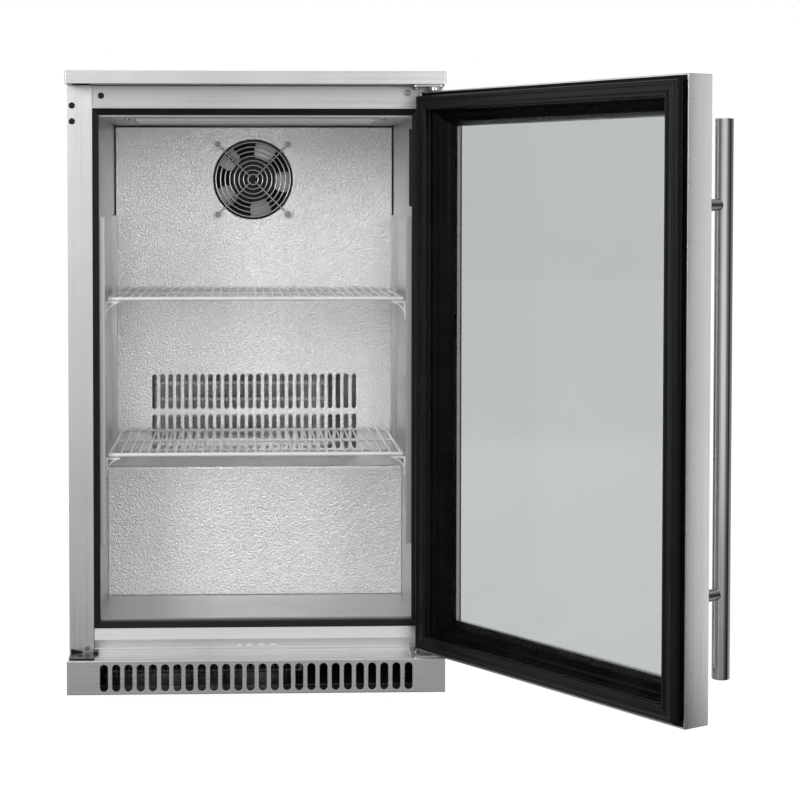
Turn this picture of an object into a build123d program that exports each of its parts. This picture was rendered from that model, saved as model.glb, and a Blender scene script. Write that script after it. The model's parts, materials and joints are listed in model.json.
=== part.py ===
from build123d import *
import math
import os

os.makedirs("parts", exist_ok=True)

# Undercounter refrigerator with one hinged glass door, in millimetres.
# The origin is the centre of the base pan's underside, X is to the right, Y to the back, Z up.
# The door is built closed in its own plane, which stands open at DOOR_OPEN about the hinge pins.

# Overall box and sheet metal
WIDTH = 500.0
DEPTH = 500.0
TOP = 821.8
SHEET = 1.0
SIDE = WIDTH / 2
FRONT = -DEPTH / 2
BACK = DEPTH / 2

# Worktop, kick and front frame
WORKTOP_EDGE = 17.0
HEM = 8.0
WORKTOP_UNDER = TOP - WORKTOP_EDGE
KICK_TOP = 45.3
FRAME_Y = -205.0
STILE_W = 32.7
TOP_RAIL_LOW = 774.3
TOP_RAIL_HIGH = 804.2
SILL_TOP = 79.3
THROAT = 8.4

PLUG_X = -244.0
PLUG_Z = (757.0, 778.0)
RAIL_PLUG = (-205.3, 791.0)
STILE_SCREW = (-226.5, 53.9)
LOW_HEAD = 0.8

# Storage space inside the liner
ROOM_HX = 208.9
ROOM_FLOOR = 90.7
ROOM_CEILING = 763.5
LINER_FRONT = -195.0
LINER_BACK = 205.0
HUMP_Y = -35.5
HUMP_TOP = 274.9
HUMP_FOAM = 40.0
FLOOR_FOAM_LOW = 52.0
COVER_Y = 137.0

# Evaporator cover: fan hole and two rows of air slots
FAN_X = -1.7
FAN_Z = 683.2
FAN_HOLE_R = 59.5
FAN_PITCH = 104.8
FAN_FRAME = 120.0
FAN_DEPTH = 38.0
VENT_COUNT = 26
VENT_PITCH = 12.0
VENT_W = 6.3
VENT_ROWS = ((278.5, 330.0), (339.0, 390.5))

# Kick slots
KICK_SLOTS = 26
KICK_PITCH = 16.1
KICK_SLOT_W = 10.6
KICK_SLOT_H = 36.0
KICK_SLOT_Z = 22.3

# Shelves and their supports
PILASTER_W = 23.0
PILASTER_PROUD = 7.0
PILASTER_TOP = 630.0
PILASTER_Y = (-195.0, 75.0)
PILASTER_LOW = (190.0, 276.0)
CLIP_TOPS = (305.8, 516.5)
CLIP_LONG = 19.0
CLIP_TALL = 25.0
CLIP_T = 2.4
SHELF_HX = 199.5
SHELF_FRONT = -178.0
SHELF_BACK = 124.0
SHELF_MID = -12.0
ROD_R = 2.8
SHELF_WIRES = 31
SHELF_PITCH = 12.1
WIRE_R = 1.6
RIM_R = 2.2
SHELF_GAP = 0.3

# Door and hinge
DOOR_OPEN = 122.3
PIVOT = (236.0, -233.5)
DOOR_EDGE = 12.6
DOOR_W = 496.6
DOOR_LOW = 51.0
DOOR_HIGH = 795.5
DOOR_OUT = -23.5
DOOR_IN = 14.0
BORDER = 44.0
HEM_LIP = 1.8
GASKET_EDGE = 6.3
GASKET_OUT = 27.5
GASKET_IN = 26.0
GLAZING_INSET = 36.0
PANE_T = 4.0
OUTER_PANE_Y = -22.3
INNER_PANE_Y = -13.1
PIN_R = 4.0
PIN_CLEARANCE = 0.05
BUSH_R = 7.0
BUSH_LONG = 20.0
HINGE_SCREW_X = 214.0
HINGE_SCREW_TOP_Y = -217.0
HINGE_SCREW_LOW_Y = -222.0
HINGE_FLANGE_X = 203.0
HINGE_FLANGE_Z = 795.4
HINGE_FLANGE_LOW = 789.7

# Handle
HANDLE_R = 10.5
HANDLE_OFF = 40.0
HANDLE_EDGE = 20.0
HANDLE_LOW = 95.6
HANDLE_HIGH = 747.0
POST_R = 7.0
POST_Z = (195.0, 647.0)

# Cold and hot side machinery
FOOT_X = 205.0
FOOT_FRONT = -146.0
FOOT_BACK = 212.0
FOOT_HIGH = 20.0
COMPRESSOR = (95.0, 128.0)
COMPRESSOR_R = 74.0
HOT_FAN = (-35.0, 128.0, 118.0)
HOT_FAN_R = 68.0


def block(x, y, z, mode=Mode.ADD):
    """Add or cut the box between two opposite corners, given as three (low, high) pairs."""
    centre = ((x[0] + x[1]) / 2, (y[0] + y[1]) / 2, (z[0] + z[1]) / 2)
    with Locations(centre):
        Box(x[1] - x[0], y[1] - y[0], z[1] - z[0], mode=mode)


def upright(base, depth):
    """The plane that faces the front at a depth of the base plane: sketch X is right, sketch Y is up."""
    return Plane(origin=base.from_local_coords((0, depth, 0)), x_dir=base.x_dir, z_dir=-base.y_dir)


def across(base, x):
    """The plane that faces the right at a base X: sketch X is depth, sketch Y is up."""
    return Plane(origin=base.from_local_coords((x, 0, 0)), x_dir=base.y_dir, z_dir=base.x_dir)


def mitred_frame(base, x, z, profile):
    """Four mitred bars round a rectangle. The profile has (inset from the edge, depth) points."""
    reach = max(inset for inset, depth in profile)
    low = min(depth for inset, depth in profile)
    high = max(depth for inset, depth in profile)
    corners = [(x[0], z[0]), (x[1], z[0]), (x[1], z[1]), (x[0], z[1])]
    inner = [
        (x[0] + reach, z[0] + reach),
        (x[1] - reach, z[0] + reach),
        (x[1] - reach, z[1] - reach),
        (x[0] + reach, z[1] - reach),
    ]
    sections = [
        (across(base, x[0]), x[1] - x[0], [(depth, z[0] + inset) for inset, depth in profile]),
        (base.offset(z[0]), z[1] - z[0], [(x[1] - inset, depth) for inset, depth in profile]),
        (across(base, x[0]), x[1] - x[0], [(depth, z[1] - inset) for inset, depth in profile]),
        (base.offset(z[0]), z[1] - z[0], [(x[0] + inset, depth) for inset, depth in profile]),
    ]
    bars = []
    for side, (plane, length, points) in enumerate(sections):
        after = (side + 1) % 4
        with BuildPart() as bar:
            with BuildSketch(plane):
                Polygon(*points, align=None)
            extrude(amount=length)
            with BuildSketch(upright(base, high + 1)):
                Polygon(corners[side], corners[after], inner[after], inner[side], align=None)
            extrude(amount=high - low + 2, mode=Mode.INTERSECT)
        bars.append(bar.part)
    return bars


def export_group(label, solids):
    """Write separate solids of one kind as one labelled sub-part."""
    group = Compound(label=label, children=solids)
    export_step(group, f"parts/{label}.step")


def tube(points, radius, bend):
    """A round tube along straight runs joined by equal tangent bends."""
    with BuildPart() as pipe:
        with BuildLine() as route:
            FilletPolyline(*points, radius=bend)
        with BuildSketch(Plane(origin=route.line @ 0, z_dir=route.line % 0)):
            Circle(radius)
        sweep(path=route.line)
    return pipe.part


# ---------------------------------------------------------------- outer casing

with BuildPart() as worktop:
    block((-SIDE, SIDE), (FRONT, BACK), (WORKTOP_UNDER, TOP))
    fillet(worktop.edges().filter_by(Axis.Z), 2.0)
    fillet(worktop.faces().sort_by(Axis.Z)[-1].edges(), 1.2)
    block(
        (-SIDE + SHEET, SIDE - SHEET),
        (FRONT + SHEET, BACK - SHEET),
        (WORKTOP_UNDER + SHEET, TOP - SHEET),
        Mode.SUBTRACT,
    )
    for cut_x, cut_y in (
        ((-SIDE + HEM, SIDE - HEM), (FRAME_Y, BACK - HEM)),
        ((-SIDE + HEM, -SIDE + STILE_W), (FRONT + HEM, FRAME_Y + 1)),
        ((SIDE - STILE_W, SIDE - HEM), (FRONT + HEM, FRAME_Y + 1)),
    ):
        block(cut_x, cut_y, (WORKTOP_UNDER - 1, WORKTOP_UNDER + 2), Mode.SUBTRACT)
    with Locations((HINGE_SCREW_X, HINGE_SCREW_TOP_Y, WORKTOP_UNDER)):
        Cylinder(2.3, 4, mode=Mode.SUBTRACT)
worktop.part.label = "worktop"
export_step(worktop.part, "parts/worktop.step")

with BuildPart() as side_panel_left:
    block((-SIDE, -SIDE + SHEET), (FRAME_Y, BACK), (0, WORKTOP_UNDER))
    block((-SIDE, -SIDE + STILE_W), (FRAME_Y, FRAME_Y + SHEET), (KICK_TOP, WORKTOP_UNDER))
    block(
        (-SIDE + STILE_W - SHEET, -SIDE + STILE_W),
        (FRAME_Y, FRAME_Y + 8),
        (KICK_TOP, WORKTOP_UNDER),
    )
    block((-SIDE, -SIDE + 14), (BACK - SHEET, BACK), (0, WORKTOP_UNDER))
    with BuildSketch(Plane.XZ.offset(-FRAME_Y)):
        with Locations(*[(PLUG_X, plug_z) for plug_z in PLUG_Z]):
            Circle(3.0)
        with Locations(STILE_SCREW):
            Circle(2.2)
    extrude(amount=-SHEET, mode=Mode.SUBTRACT)
side_panel_left.part.label = "side_panel_left"
export_step(side_panel_left.part, "parts/side_panel_left.step")

with BuildPart() as side_panel_right:
    block((SIDE - SHEET, SIDE), (FRAME_Y, BACK), (0, WORKTOP_UNDER))
    block((SIDE - STILE_W, SIDE), (FRAME_Y, FRAME_Y + SHEET), (KICK_TOP, WORKTOP_UNDER))
    block(
        (SIDE - STILE_W, SIDE - STILE_W + SHEET),
        (FRAME_Y, FRAME_Y + 8),
        (KICK_TOP, WORKTOP_UNDER),
    )
    block((SIDE - 14, SIDE), (BACK - SHEET, BACK), (0, WORKTOP_UNDER))
side_panel_right.part.label = "side_panel_right"
export_step(side_panel_right.part, "parts/side_panel_right.step")

MACHINE_TOP = HUMP_TOP - HUMP_FOAM
with BuildPart() as rear_panel:
    block((-SIDE + 14.2, SIDE - 14.2), (BACK - SHEET, BACK), (MACHINE_TOP, WORKTOP_UNDER))
    block((-ROOM_HX, ROOM_HX), (BACK - 14, BACK), (MACHINE_TOP, MACHINE_TOP + SHEET))
rear_panel.part.label = "rear_panel"
export_step(rear_panel.part, "parts/rear_panel.step")

INLET_X = 176.0
INLET_Z = 40.0
with BuildPart() as rear_grille:
    block((-SIDE + 14.2, SIDE - 14.2), (BACK - SHEET, BACK), (2, MACHINE_TOP - 0.3))
    with BuildSketch(Plane.XZ.offset(-BACK)):
        with Locations((-20, MACHINE_TOP / 2 + 12)):
            with GridLocations(58, 14, 6, 11):
                SlotOverall(46, 6)
    extrude(amount=SHEET, mode=Mode.SUBTRACT)
    block(
        (INLET_X - 24, INLET_X + 24),
        (BACK - 3, BACK + 1),
        (INLET_Z - 14, INLET_Z + 14),
        Mode.SUBTRACT,
    )
rear_grille.part.label = "rear_grille"
export_step(rear_grille.part, "parts/rear_grille.step")

PAN_T = 1.5
FLANGE = 22.0
feet_places = [(x, y) for x in (-FOOT_X, FOOT_X) for y in (FOOT_FRONT, FOOT_BACK)]
with BuildPart() as base_pan:
    block((-SIDE + SHEET, SIDE - SHEET), (FRAME_Y + SHEET, BACK - SHEET), (0, PAN_T))
    for inner, outer in ((-SIDE + SHEET, -SIDE + SHEET + PAN_T), (SIDE - SHEET - PAN_T, SIDE - SHEET)):
        block((inner, outer), (FRAME_Y + SHEET, BACK - SHEET), (0, FLANGE))
    for place in feet_places:
        with Locations((place[0], place[1], PAN_T + 3)):
            Cylinder(9, 6)
        with Locations((place[0], place[1], 5)):
            Cylinder(PIN_R + PIN_CLEARANCE, 20, mode=Mode.SUBTRACT)
base_pan.part.label = "base_pan"
export_step(base_pan.part, "parts/base_pan.step")

# ---------------------------------------------------------------- insulation and liner

FOAM_X = (ROOM_HX + SHEET, SIDE - SHEET)
FOAM_FRONT = LINER_FRONT
FOAM_BACK = BACK - SHEET
FOAM_TOP = TOP - SHEET
foam_walls = {
    "left": ((-FOAM_X[1], -FOAM_X[0]), (FOAM_FRONT, FOAM_BACK), (FLOOR_FOAM_LOW, WORKTOP_UNDER)),
    "right": (FOAM_X, (FOAM_FRONT, FOAM_BACK), (FLOOR_FOAM_LOW, WORKTOP_UNDER)),
    "top": ((-ROOM_HX, ROOM_HX), (FOAM_FRONT + SHEET, FOAM_BACK), (ROOM_CEILING + SHEET, FOAM_TOP - 16)),
    "floor": (
        (-ROOM_HX, ROOM_HX),
        (FOAM_FRONT + SHEET, HUMP_Y + SHEET),
        (FLOOR_FOAM_LOW, ROOM_FLOOR - SHEET),
    ),
    "hump_front": (
        (-ROOM_HX, ROOM_HX),
        (HUMP_Y + SHEET, HUMP_Y + HUMP_FOAM),
        (FLOOR_FOAM_LOW, HUMP_TOP - SHEET),
    ),
    "hump_top": (
        (-ROOM_HX, ROOM_HX),
        (HUMP_Y + HUMP_FOAM, FOAM_BACK),
        (MACHINE_TOP + SHEET, HUMP_TOP - SHEET),
    ),
    "rear": (
        (-ROOM_HX, ROOM_HX),
        (LINER_BACK + SHEET, FOAM_BACK),
        (HUMP_TOP - SHEET, ROOM_CEILING + SHEET),
    ),
}
foam_solids = []
for corners in foam_walls.values():
    with BuildPart() as foam_wall:
        block(*corners)
    foam_solids.append(foam_wall.part)
export_group("insulation_foam", foam_solids)

LAMP_Y = -189.0
LAMP_Z = (644.0, 748.0)
with BuildPart() as liner_left:
    block((-ROOM_HX - SHEET, -ROOM_HX), (LINER_FRONT, LINER_BACK), (ROOM_FLOOR, ROOM_CEILING))
liner_left.part.label = "liner_left"
export_step(liner_left.part, "parts/liner_left.step")

with BuildPart() as liner_right:
    block((ROOM_HX, ROOM_HX + SHEET), (LINER_FRONT, LINER_BACK), (ROOM_FLOOR, ROOM_CEILING))
liner_right.part.label = "liner_right"
export_step(liner_right.part, "parts/liner_right.step")

with BuildPart() as liner_ceiling_rear:
    block((-ROOM_HX, ROOM_HX), (LINER_FRONT, LINER_BACK + SHEET), (ROOM_CEILING, ROOM_CEILING + SHEET))
    block((-ROOM_HX, ROOM_HX), (LINER_BACK, LINER_BACK + SHEET), (HUMP_TOP, ROOM_CEILING + SHEET))
    block((-ROOM_HX, ROOM_HX), (LINER_FRONT, LINER_FRONT + SHEET), (ROOM_CEILING, TOP_RAIL_LOW - THROAT))
liner_ceiling_rear.part.label = "liner_ceiling_rear"
export_step(liner_ceiling_rear.part, "parts/liner_ceiling_rear.step")

with BuildPart() as liner_floor:
    block((-ROOM_HX, ROOM_HX), (LINER_FRONT, HUMP_Y), (ROOM_FLOOR - SHEET, ROOM_FLOOR))
    block((-ROOM_HX, ROOM_HX), (LINER_FRONT, LINER_FRONT + SHEET), (SILL_TOP + THROAT, ROOM_FLOOR))
liner_floor.part.label = "liner_floor"
export_step(liner_floor.part, "parts/liner_floor.step")

with BuildPart() as hump_cover:
    block((-ROOM_HX, ROOM_HX), (HUMP_Y, HUMP_Y + SHEET), (ROOM_FLOOR, HUMP_TOP))
    block((-ROOM_HX, ROOM_HX), (HUMP_Y, LINER_BACK), (HUMP_TOP - SHEET, HUMP_TOP))
hump_cover.part.label = "hump_cover"
export_step(hump_cover.part, "parts/hump_cover.step")

# ---------------------------------------------------------------- front frame

RAIL_X = SIDE - STILE_W
JOINT_GAP = 0.5
with BuildPart() as top_rail:
    rail_span = (-RAIL_X + JOINT_GAP, RAIL_X - JOINT_GAP)
    block(rail_span, (FRAME_Y, FRAME_Y + SHEET), (TOP_RAIL_LOW, TOP_RAIL_HIGH))
    block(rail_span, (FRAME_Y, FRAME_Y + 8), (TOP_RAIL_HIGH - SHEET, TOP_RAIL_HIGH))
    with BuildSketch(Plane.XZ.offset(-FRAME_Y)):
        with Locations(RAIL_PLUG):
            Circle(3.0)
        with Locations((HINGE_FLANGE_X, HINGE_FLANGE_Z)):
            Circle(2.2)
    extrude(amount=-SHEET, mode=Mode.SUBTRACT)
top_rail.part.label = "top_rail"
export_step(top_rail.part, "parts/top_rail.step")

# Sill: an upper band that leans back, a lower band that leans in, and two small ribs; four light marks
# show in the lower band, each given by its middle and its width
SILL_LEAN = 0.9
SILL_TOP_LEAN = 1.4
SILL_MARKS = ((-23.1, 5.4), (-9.1, 7.7), (6.4, 8.1), (22.7, 8.7))
MARK_Z = (54.3, 56.9)
with BuildPart() as sill_panel:
    with BuildSketch(Plane.YZ.offset(-RAIL_X + JOINT_GAP)):
        with BuildLine():
            Polyline(
                (FRAME_Y + SILL_TOP_LEAN, SILL_TOP),
                (FRAME_Y, 63.6),
                (FRAME_Y + SILL_LEAN, 52.6),
                (FRAME_Y, 52.2),
                (FRAME_Y, 51.2),
                (FRAME_Y + SILL_LEAN, 50.6),
                (FRAME_Y + SILL_LEAN, 48.4),
                (FRAME_Y, 48.0),
                (FRAME_Y, KICK_TOP),
                (FRAME_Y + 2.6, KICK_TOP),
                (FRAME_Y + 2.6, SILL_TOP),
                close=True,
            )
        make_face()
    extrude(amount=2 * (RAIL_X - JOINT_GAP))
    for mark_x, mark_w in SILL_MARKS:
        block((mark_x - mark_w / 2, mark_x + mark_w / 2), (FRAME_Y - 1, FRAME_Y + 4), MARK_Z, Mode.SUBTRACT)
sill_panel.part.label = "sill_panel"
export_step(sill_panel.part, "parts/sill_panel.step")

# Black throat strips that bridge the outer frame and the liner
strip = mitred_frame(
    Plane.XY,
    (-RAIL_X, RAIL_X),
    (SILL_TOP, TOP_RAIL_LOW),
    [
        (0, FRAME_Y),
        (THROAT, FRAME_Y + 1.5),
        (THROAT, LINER_FRONT),
        (0, LINER_FRONT),
    ],
)
export_group("breaker_strips", strip)

DRAIN_X = (-26.0, 35.0)
DRAIN_Y = (-230.2, -228.6)
with BuildPart() as kick_grille:
    block((-SIDE, SIDE), (FRONT, FRAME_Y), (0, KICK_TOP))
    fillet(kick_grille.edges().filter_by(Axis.X).sort_by(Axis.Y)[:2], 1.2)
    block(
        (-SIDE + SHEET, SIDE - SHEET),
        (FRONT + SHEET, FRAME_Y + 1),
        (SHEET, KICK_TOP - SHEET),
        Mode.SUBTRACT,
    )
    block(DRAIN_X, DRAIN_Y, (KICK_TOP - 2 * SHEET, KICK_TOP + 1), Mode.SUBTRACT)
    with BuildSketch(Plane.XZ.offset(-FRONT)):
        with Locations((0, KICK_SLOT_Z)):
            with GridLocations(KICK_PITCH, 1, KICK_SLOTS, 1):
                SlotOverall(KICK_SLOT_H, KICK_SLOT_W, rotation=90)
    extrude(amount=-SHEET - 1, mode=Mode.SUBTRACT)
    with Locations((HINGE_SCREW_X, HINGE_SCREW_LOW_Y, KICK_TOP)):
        Cylinder(2.2, 4, mode=Mode.SUBTRACT)
kick_grille.part.label = "kick_grille"
export_step(kick_grille.part, "parts/kick_grille.step")

# ---------------------------------------------------------------- evaporator cover and fan

fan_screws = [
    (FAN_X + sx * FAN_PITCH / 2, FAN_Z + sz * FAN_PITCH / 2) for sx in (-1, 1) for sz in (-1, 1)
]
with BuildPart() as evaporator_cover:
    block((-ROOM_HX + 2, ROOM_HX - 2), (COVER_Y, COVER_Y + SHEET), (HUMP_TOP, ROOM_CEILING - 2))
    block((-ROOM_HX + 2, ROOM_HX - 2), (COVER_Y, COVER_Y + 10), (HUMP_TOP, HUMP_TOP + SHEET))
    with BuildSketch(Plane.XZ.offset(-COVER_Y)):
        with Locations((FAN_X, FAN_Z)):
            Circle(FAN_HOLE_R)
        for low, high in VENT_ROWS:
            with Locations((FAN_X, (low + high) / 2)):
                with GridLocations(VENT_PITCH, 1, VENT_COUNT, 1):
                    SlotOverall(high - low, VENT_W, rotation=90)
    extrude(amount=-SHEET, mode=Mode.SUBTRACT)
    with BuildSketch(Plane.XZ.offset(-COVER_Y)):
        with Locations(*fan_screws):
            Circle(2.2)
    extrude(amount=-SHEET, mode=Mode.SUBTRACT)
evaporator_cover.part.label = "evaporator_cover"
export_step(evaporator_cover.part, "parts/evaporator_cover.step")

FAN_Y = COVER_Y + SHEET
with BuildPart() as fan_housing:
    block(
        (FAN_X - FAN_FRAME / 2, FAN_X + FAN_FRAME / 2),
        (FAN_Y, FAN_Y + FAN_DEPTH),
        (FAN_Z - FAN_FRAME / 2, FAN_Z + FAN_FRAME / 2),
    )
    fillet(fan_housing.edges().filter_by(Axis.Y), 6)
    with BuildSketch(Plane.XZ.offset(-FAN_Y)):
        with Locations((FAN_X, FAN_Z)):
            Circle(FAN_HOLE_R - 2.7)
        with Locations(*fan_screws):
            Circle(2.2)
    extrude(amount=-FAN_DEPTH, mode=Mode.SUBTRACT)
    with Locations((FAN_X, FAN_Y + FAN_DEPTH - 2, FAN_Z)):
        for spoke_angle in (45, 135):
            Box(2 * FAN_HOLE_R, 4, 5, rotation=(0, spoke_angle, 0))
    with Locations((FAN_X, FAN_Y + FAN_DEPTH - 2, FAN_Z)):
        Cylinder(22, 4, rotation=(90, 0, 0))
        Cylinder(3, 10, rotation=(90, 0, 0), mode=Mode.SUBTRACT)
fan_housing.part.label = "fan_housing"
export_step(fan_housing.part, "parts/fan_housing.step")

MOTOR_LONG = 18.0
with BuildPart(Plane.XZ.offset(-(FAN_Y + FAN_DEPTH - 4))) as fan_motor:
    with Locations((FAN_X, FAN_Z, MOTOR_LONG / 2)):
        Cylinder(19, MOTOR_LONG)
    with Locations((FAN_X, FAN_Z, MOTOR_LONG + 5)):
        Cylinder(2.5, 10)
fan_motor.part.label = "fan_motor"
export_step(fan_motor.part, "parts/fan_motor.step")

BLADE_T = 2.0


def fan_rotor(plane, hub_r, hub_long, bore_r, skirt, tip_r, blades, chord, pitch, start=0.0):
    """A moulded fan wheel: a cup-shaped hub on a shaft bore, with lofted blades round it."""
    with BuildPart() as blade:
        for reach, scale in ((hub_r - 2, 0.62), (tip_r + 1, 1.0)):
            section = Plane(origin=(reach, 0, 0), x_dir=(0, 1, 0), z_dir=(1, 0, 0))
            with BuildSketch(section):
                SlotOverall(chord * scale, BLADE_T, rotation=pitch + (1 - scale) * 24)
        loft()
    with BuildPart(plane) as rotor:
        Cylinder(hub_r, hub_long)
        with Locations((0, 0, -3)):
            Cylinder(hub_r - 2.5, hub_long, mode=Mode.SUBTRACT)
        with Locations((0, 0, hub_long / 2 - skirt / 2)):
            Cylinder(bore_r + 3, skirt)
            Cylinder(bore_r, skirt + 2, mode=Mode.SUBTRACT)
        with PolarLocations(0, blades, start):
            add(blade.part)
        Cylinder(tip_r, 90, mode=Mode.INTERSECT)
    return rotor.part


HUB_LONG = 22.0
fan_front = Plane(
    origin=(FAN_X, FAN_Y + 4 + HUB_LONG / 2, FAN_Z), x_dir=(1, 0, 0), z_dir=(0, -1, 0)
)
evaporator_fan = fan_rotor(fan_front, 33.0, HUB_LONG, 2.55, 8.0, 55.6, 5, 46.0, 26.0, 32.0)
evaporator_fan.label = "evaporator_fan"
export_step(evaporator_fan, "parts/evaporator_fan.step")

GUARD_Y = COVER_Y - 4.5
GUARD_R = 1.1
guard_rings = [7.6 + 6.85 * i for i in range(8)]
with BuildPart(Plane.XZ.offset(-GUARD_Y)) as fan_guard:
    with Locations((FAN_X, FAN_Z, 0)):
        for ring in guard_rings:
            Torus(ring, GUARD_R)
    for corner in fan_screws:
        side_x = math.copysign(1, corner[0] - FAN_X)
        side_z = math.copysign(1, corner[1] - FAN_Z)
        run = math.hypot(FAN_PITCH / 2, FAN_PITCH / 2)
        angle = math.degrees(math.atan2(side_z, side_x))
        with Locations(Location((FAN_X, FAN_Z, -1.4), (0, 0, angle))):
            with Locations(((run - 4 + 5) / 2, 0, 0)):
                Cylinder(GUARD_R + 0.2, run - 4 - 5, rotation=(0, 90, 0))
            with Locations((run, 0, 0)):
                Cylinder(6.2, 2.2)
                Cylinder(3.4, 4, mode=Mode.SUBTRACT)
fan_guard.part.label = "fan_guard"
export_step(fan_guard.part, "parts/fan_guard.step")

screws = []
for place in fan_screws:
    with BuildPart(Plane.XZ.offset(-COVER_Y)) as guard_screw:
        with Locations((place[0], place[1], 5.9)):
            Cylinder(4.5, 2.6)
        fillet(guard_screw.faces().sort_by(Axis.Y)[0].edges(), 1.0)
        with Locations((place[0], place[1], -3.7)):
            Cylinder(2.0, 17.2)
        with Locations((place[0], place[1], 6.9)):
            Box(5, 0.9, 1.2, mode=Mode.SUBTRACT)
            Box(0.9, 5, 1.2, mode=Mode.SUBTRACT)
    screws.append(guard_screw.part)
export_group("fan_guard_screws", screws)

EVAP_X = (-152.0, 128.0)
EVAP_Y = (150.0, 198.0)
EVAP_Z = (286.0, 397.0)
TUBE_R = 4.0
with BuildPart() as evaporator:
    fin_count = 29
    for i in range(fin_count):
        fin_x = EVAP_X[0] + 6 + i * (EVAP_X[1] - EVAP_X[0] - 12) / (fin_count - 1)
        block((fin_x - 0.3, fin_x + 0.3), EVAP_Y, EVAP_Z)
    for tube_y in (EVAP_Y[0] + 13, EVAP_Y[1] - 13):
        for row in range(4):
            tube_z = EVAP_Z[0] + 16 + row * 24.6
            with Locations(((EVAP_X[0] + EVAP_X[1]) / 2, tube_y, tube_z)):
                Cylinder(TUBE_R, EVAP_X[1] - EVAP_X[0], rotation=(0, 90, 0))
    for end in EVAP_X:
        for row in range(4):
            tube_z = EVAP_Z[0] + 16 + row * 24.6
            with Locations((end, (EVAP_Y[0] + EVAP_Y[1]) / 2, tube_z)):
                Cylinder(TUBE_R, EVAP_Y[1] - EVAP_Y[0] - 26, rotation=(90, 0, 0))
            with Locations((end, EVAP_Y[0] + 13, tube_z), (end, EVAP_Y[1] - 13, tube_z)):
                Sphere(TUBE_R)
evaporator.part.label = "evaporator"
export_step(evaporator.part, "parts/evaporator.step")

# ---------------------------------------------------------------- shelves

pilasters = []
clips = []
for side in (-1, 1):
    wall = side * ROOM_HX
    face = side * (ROOM_HX - PILASTER_PROUD)
    reach = (min(wall, face), max(wall, face))
    for y0, low in zip(PILASTER_Y, PILASTER_LOW):
        with BuildPart() as pilaster:
            block(reach, (y0, y0 + PILASTER_W), (low, PILASTER_TOP))
            block(
                (min(wall, face + side * 1.2), max(wall, face + side * 1.2)),
                (y0 + 1.2, y0 + PILASTER_W - 1.2),
                (low - 1, PILASTER_TOP + 1),
                Mode.SUBTRACT,
            )
            slot_count = int((PILASTER_TOP - low - 20) // 25)
            for i in range(slot_count):
                slot_z = PILASTER_TOP - 15 - 25 * i
                block(
                    (face - 2, face + 2),
                    (y0 + PILASTER_W / 2 - 1.6, y0 + PILASTER_W / 2 + 1.6),
                    (slot_z - 5, slot_z + 5),
                    Mode.SUBTRACT,
                )
        pilasters.append(pilaster.part)
        for clip_top in CLIP_TOPS:
            clip_y = y0 + PILASTER_W / 2
            tip = face - side * CLIP_LONG
            with BuildPart() as clip:
                with BuildSketch(Plane.XZ.offset(-clip_y - CLIP_T / 2)):
                    with BuildLine():
                        Line((face, clip_top), (tip, clip_top))
                        Line((tip, clip_top), (tip, clip_top - 1.8))
                        ThreePointArc(
                            (tip, clip_top - 1.8),
                            (face - side * 5.5, clip_top - 9.5),
                            (face - side * 1.8, clip_top - CLIP_TALL),
                        )
                        Line((face - side * 1.8, clip_top - CLIP_TALL), (face, clip_top - CLIP_TALL))
                        Line((face, clip_top - CLIP_TALL), (face, clip_top))
                    make_face()
                    with BuildLine():
                        Polyline(
                            (face - side * 2.2, clip_top - 2.2),
                            (face - side * 11.5, clip_top - 2.2),
                            (face - side * 7.0, clip_top - 5.4),
                            (face - side * 4.5, clip_top - 8.0),
                            (face - side * 2.2, clip_top - 11.7),
                            close=True,
                        )
                    make_face(mode=Mode.SUBTRACT)
                extrude(amount=-CLIP_T)
            clips.append(clip.part)
export_group("shelf_pilasters", pilasters)
export_group("shelf_clips", clips)


def wire_shelf(clip_top):
    """A welded wire shelf that rests on its clips: front rod, rim, mid wire, and long wires on top.

    Every wire is an eight-sided bar of the wire's size, so that the welded grid is one clean solid.
    """
    rim_z = clip_top + SHELF_GAP + RIM_R
    rod_z = clip_top + SHELF_GAP + ROD_R
    top_z = rim_z + RIM_R + WIRE_R - 0.6
    wires = [(i - (SHELF_WIRES - 1) / 2) * SHELF_PITCH for i in range(SHELF_WIRES)]
    with BuildPart() as shelf:
        with BuildSketch(Plane.YZ.offset(-SHELF_HX)):
            with Locations((SHELF_MID, rim_z), (SHELF_BACK, rim_z)):
                RegularPolygon(RIM_R, 8, rotation=22.5)
            with Locations((SHELF_FRONT, rod_z)):
                RegularPolygon(ROD_R, 8, rotation=22.5)
        extrude(amount=2 * SHELF_HX)
        with BuildSketch(Plane.XZ.offset(-SHELF_BACK - 0.5)):
            with Locations((-SHELF_HX + 3.2, rim_z + 0.3), (SHELF_HX - 3.2, rim_z + 0.3)):
                RegularPolygon(RIM_R - 0.3, 8, rotation=22.5)
        extrude(amount=SHELF_BACK - SHELF_FRONT + 1)
        with BuildSketch(Plane.XZ.offset(-SHELF_BACK - 0.8)):
            with Locations(*[(wire_x, top_z) for wire_x in wires]):
                RegularPolygon(WIRE_R, 8, rotation=22.5)
        extrude(amount=SHELF_BACK + 0.8 - SHELF_FRONT + 1.2)
    return shelf.part


lower_shelf = wire_shelf(CLIP_TOPS[0])
lower_shelf.label = "lower_shelf"
export_step(lower_shelf, "parts/lower_shelf.step")

upper_shelf = wire_shelf(CLIP_TOPS[1])
upper_shelf.label = "upper_shelf"
export_step(upper_shelf, "parts/upper_shelf.step")

# ---------------------------------------------------------------- lights and control

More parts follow.
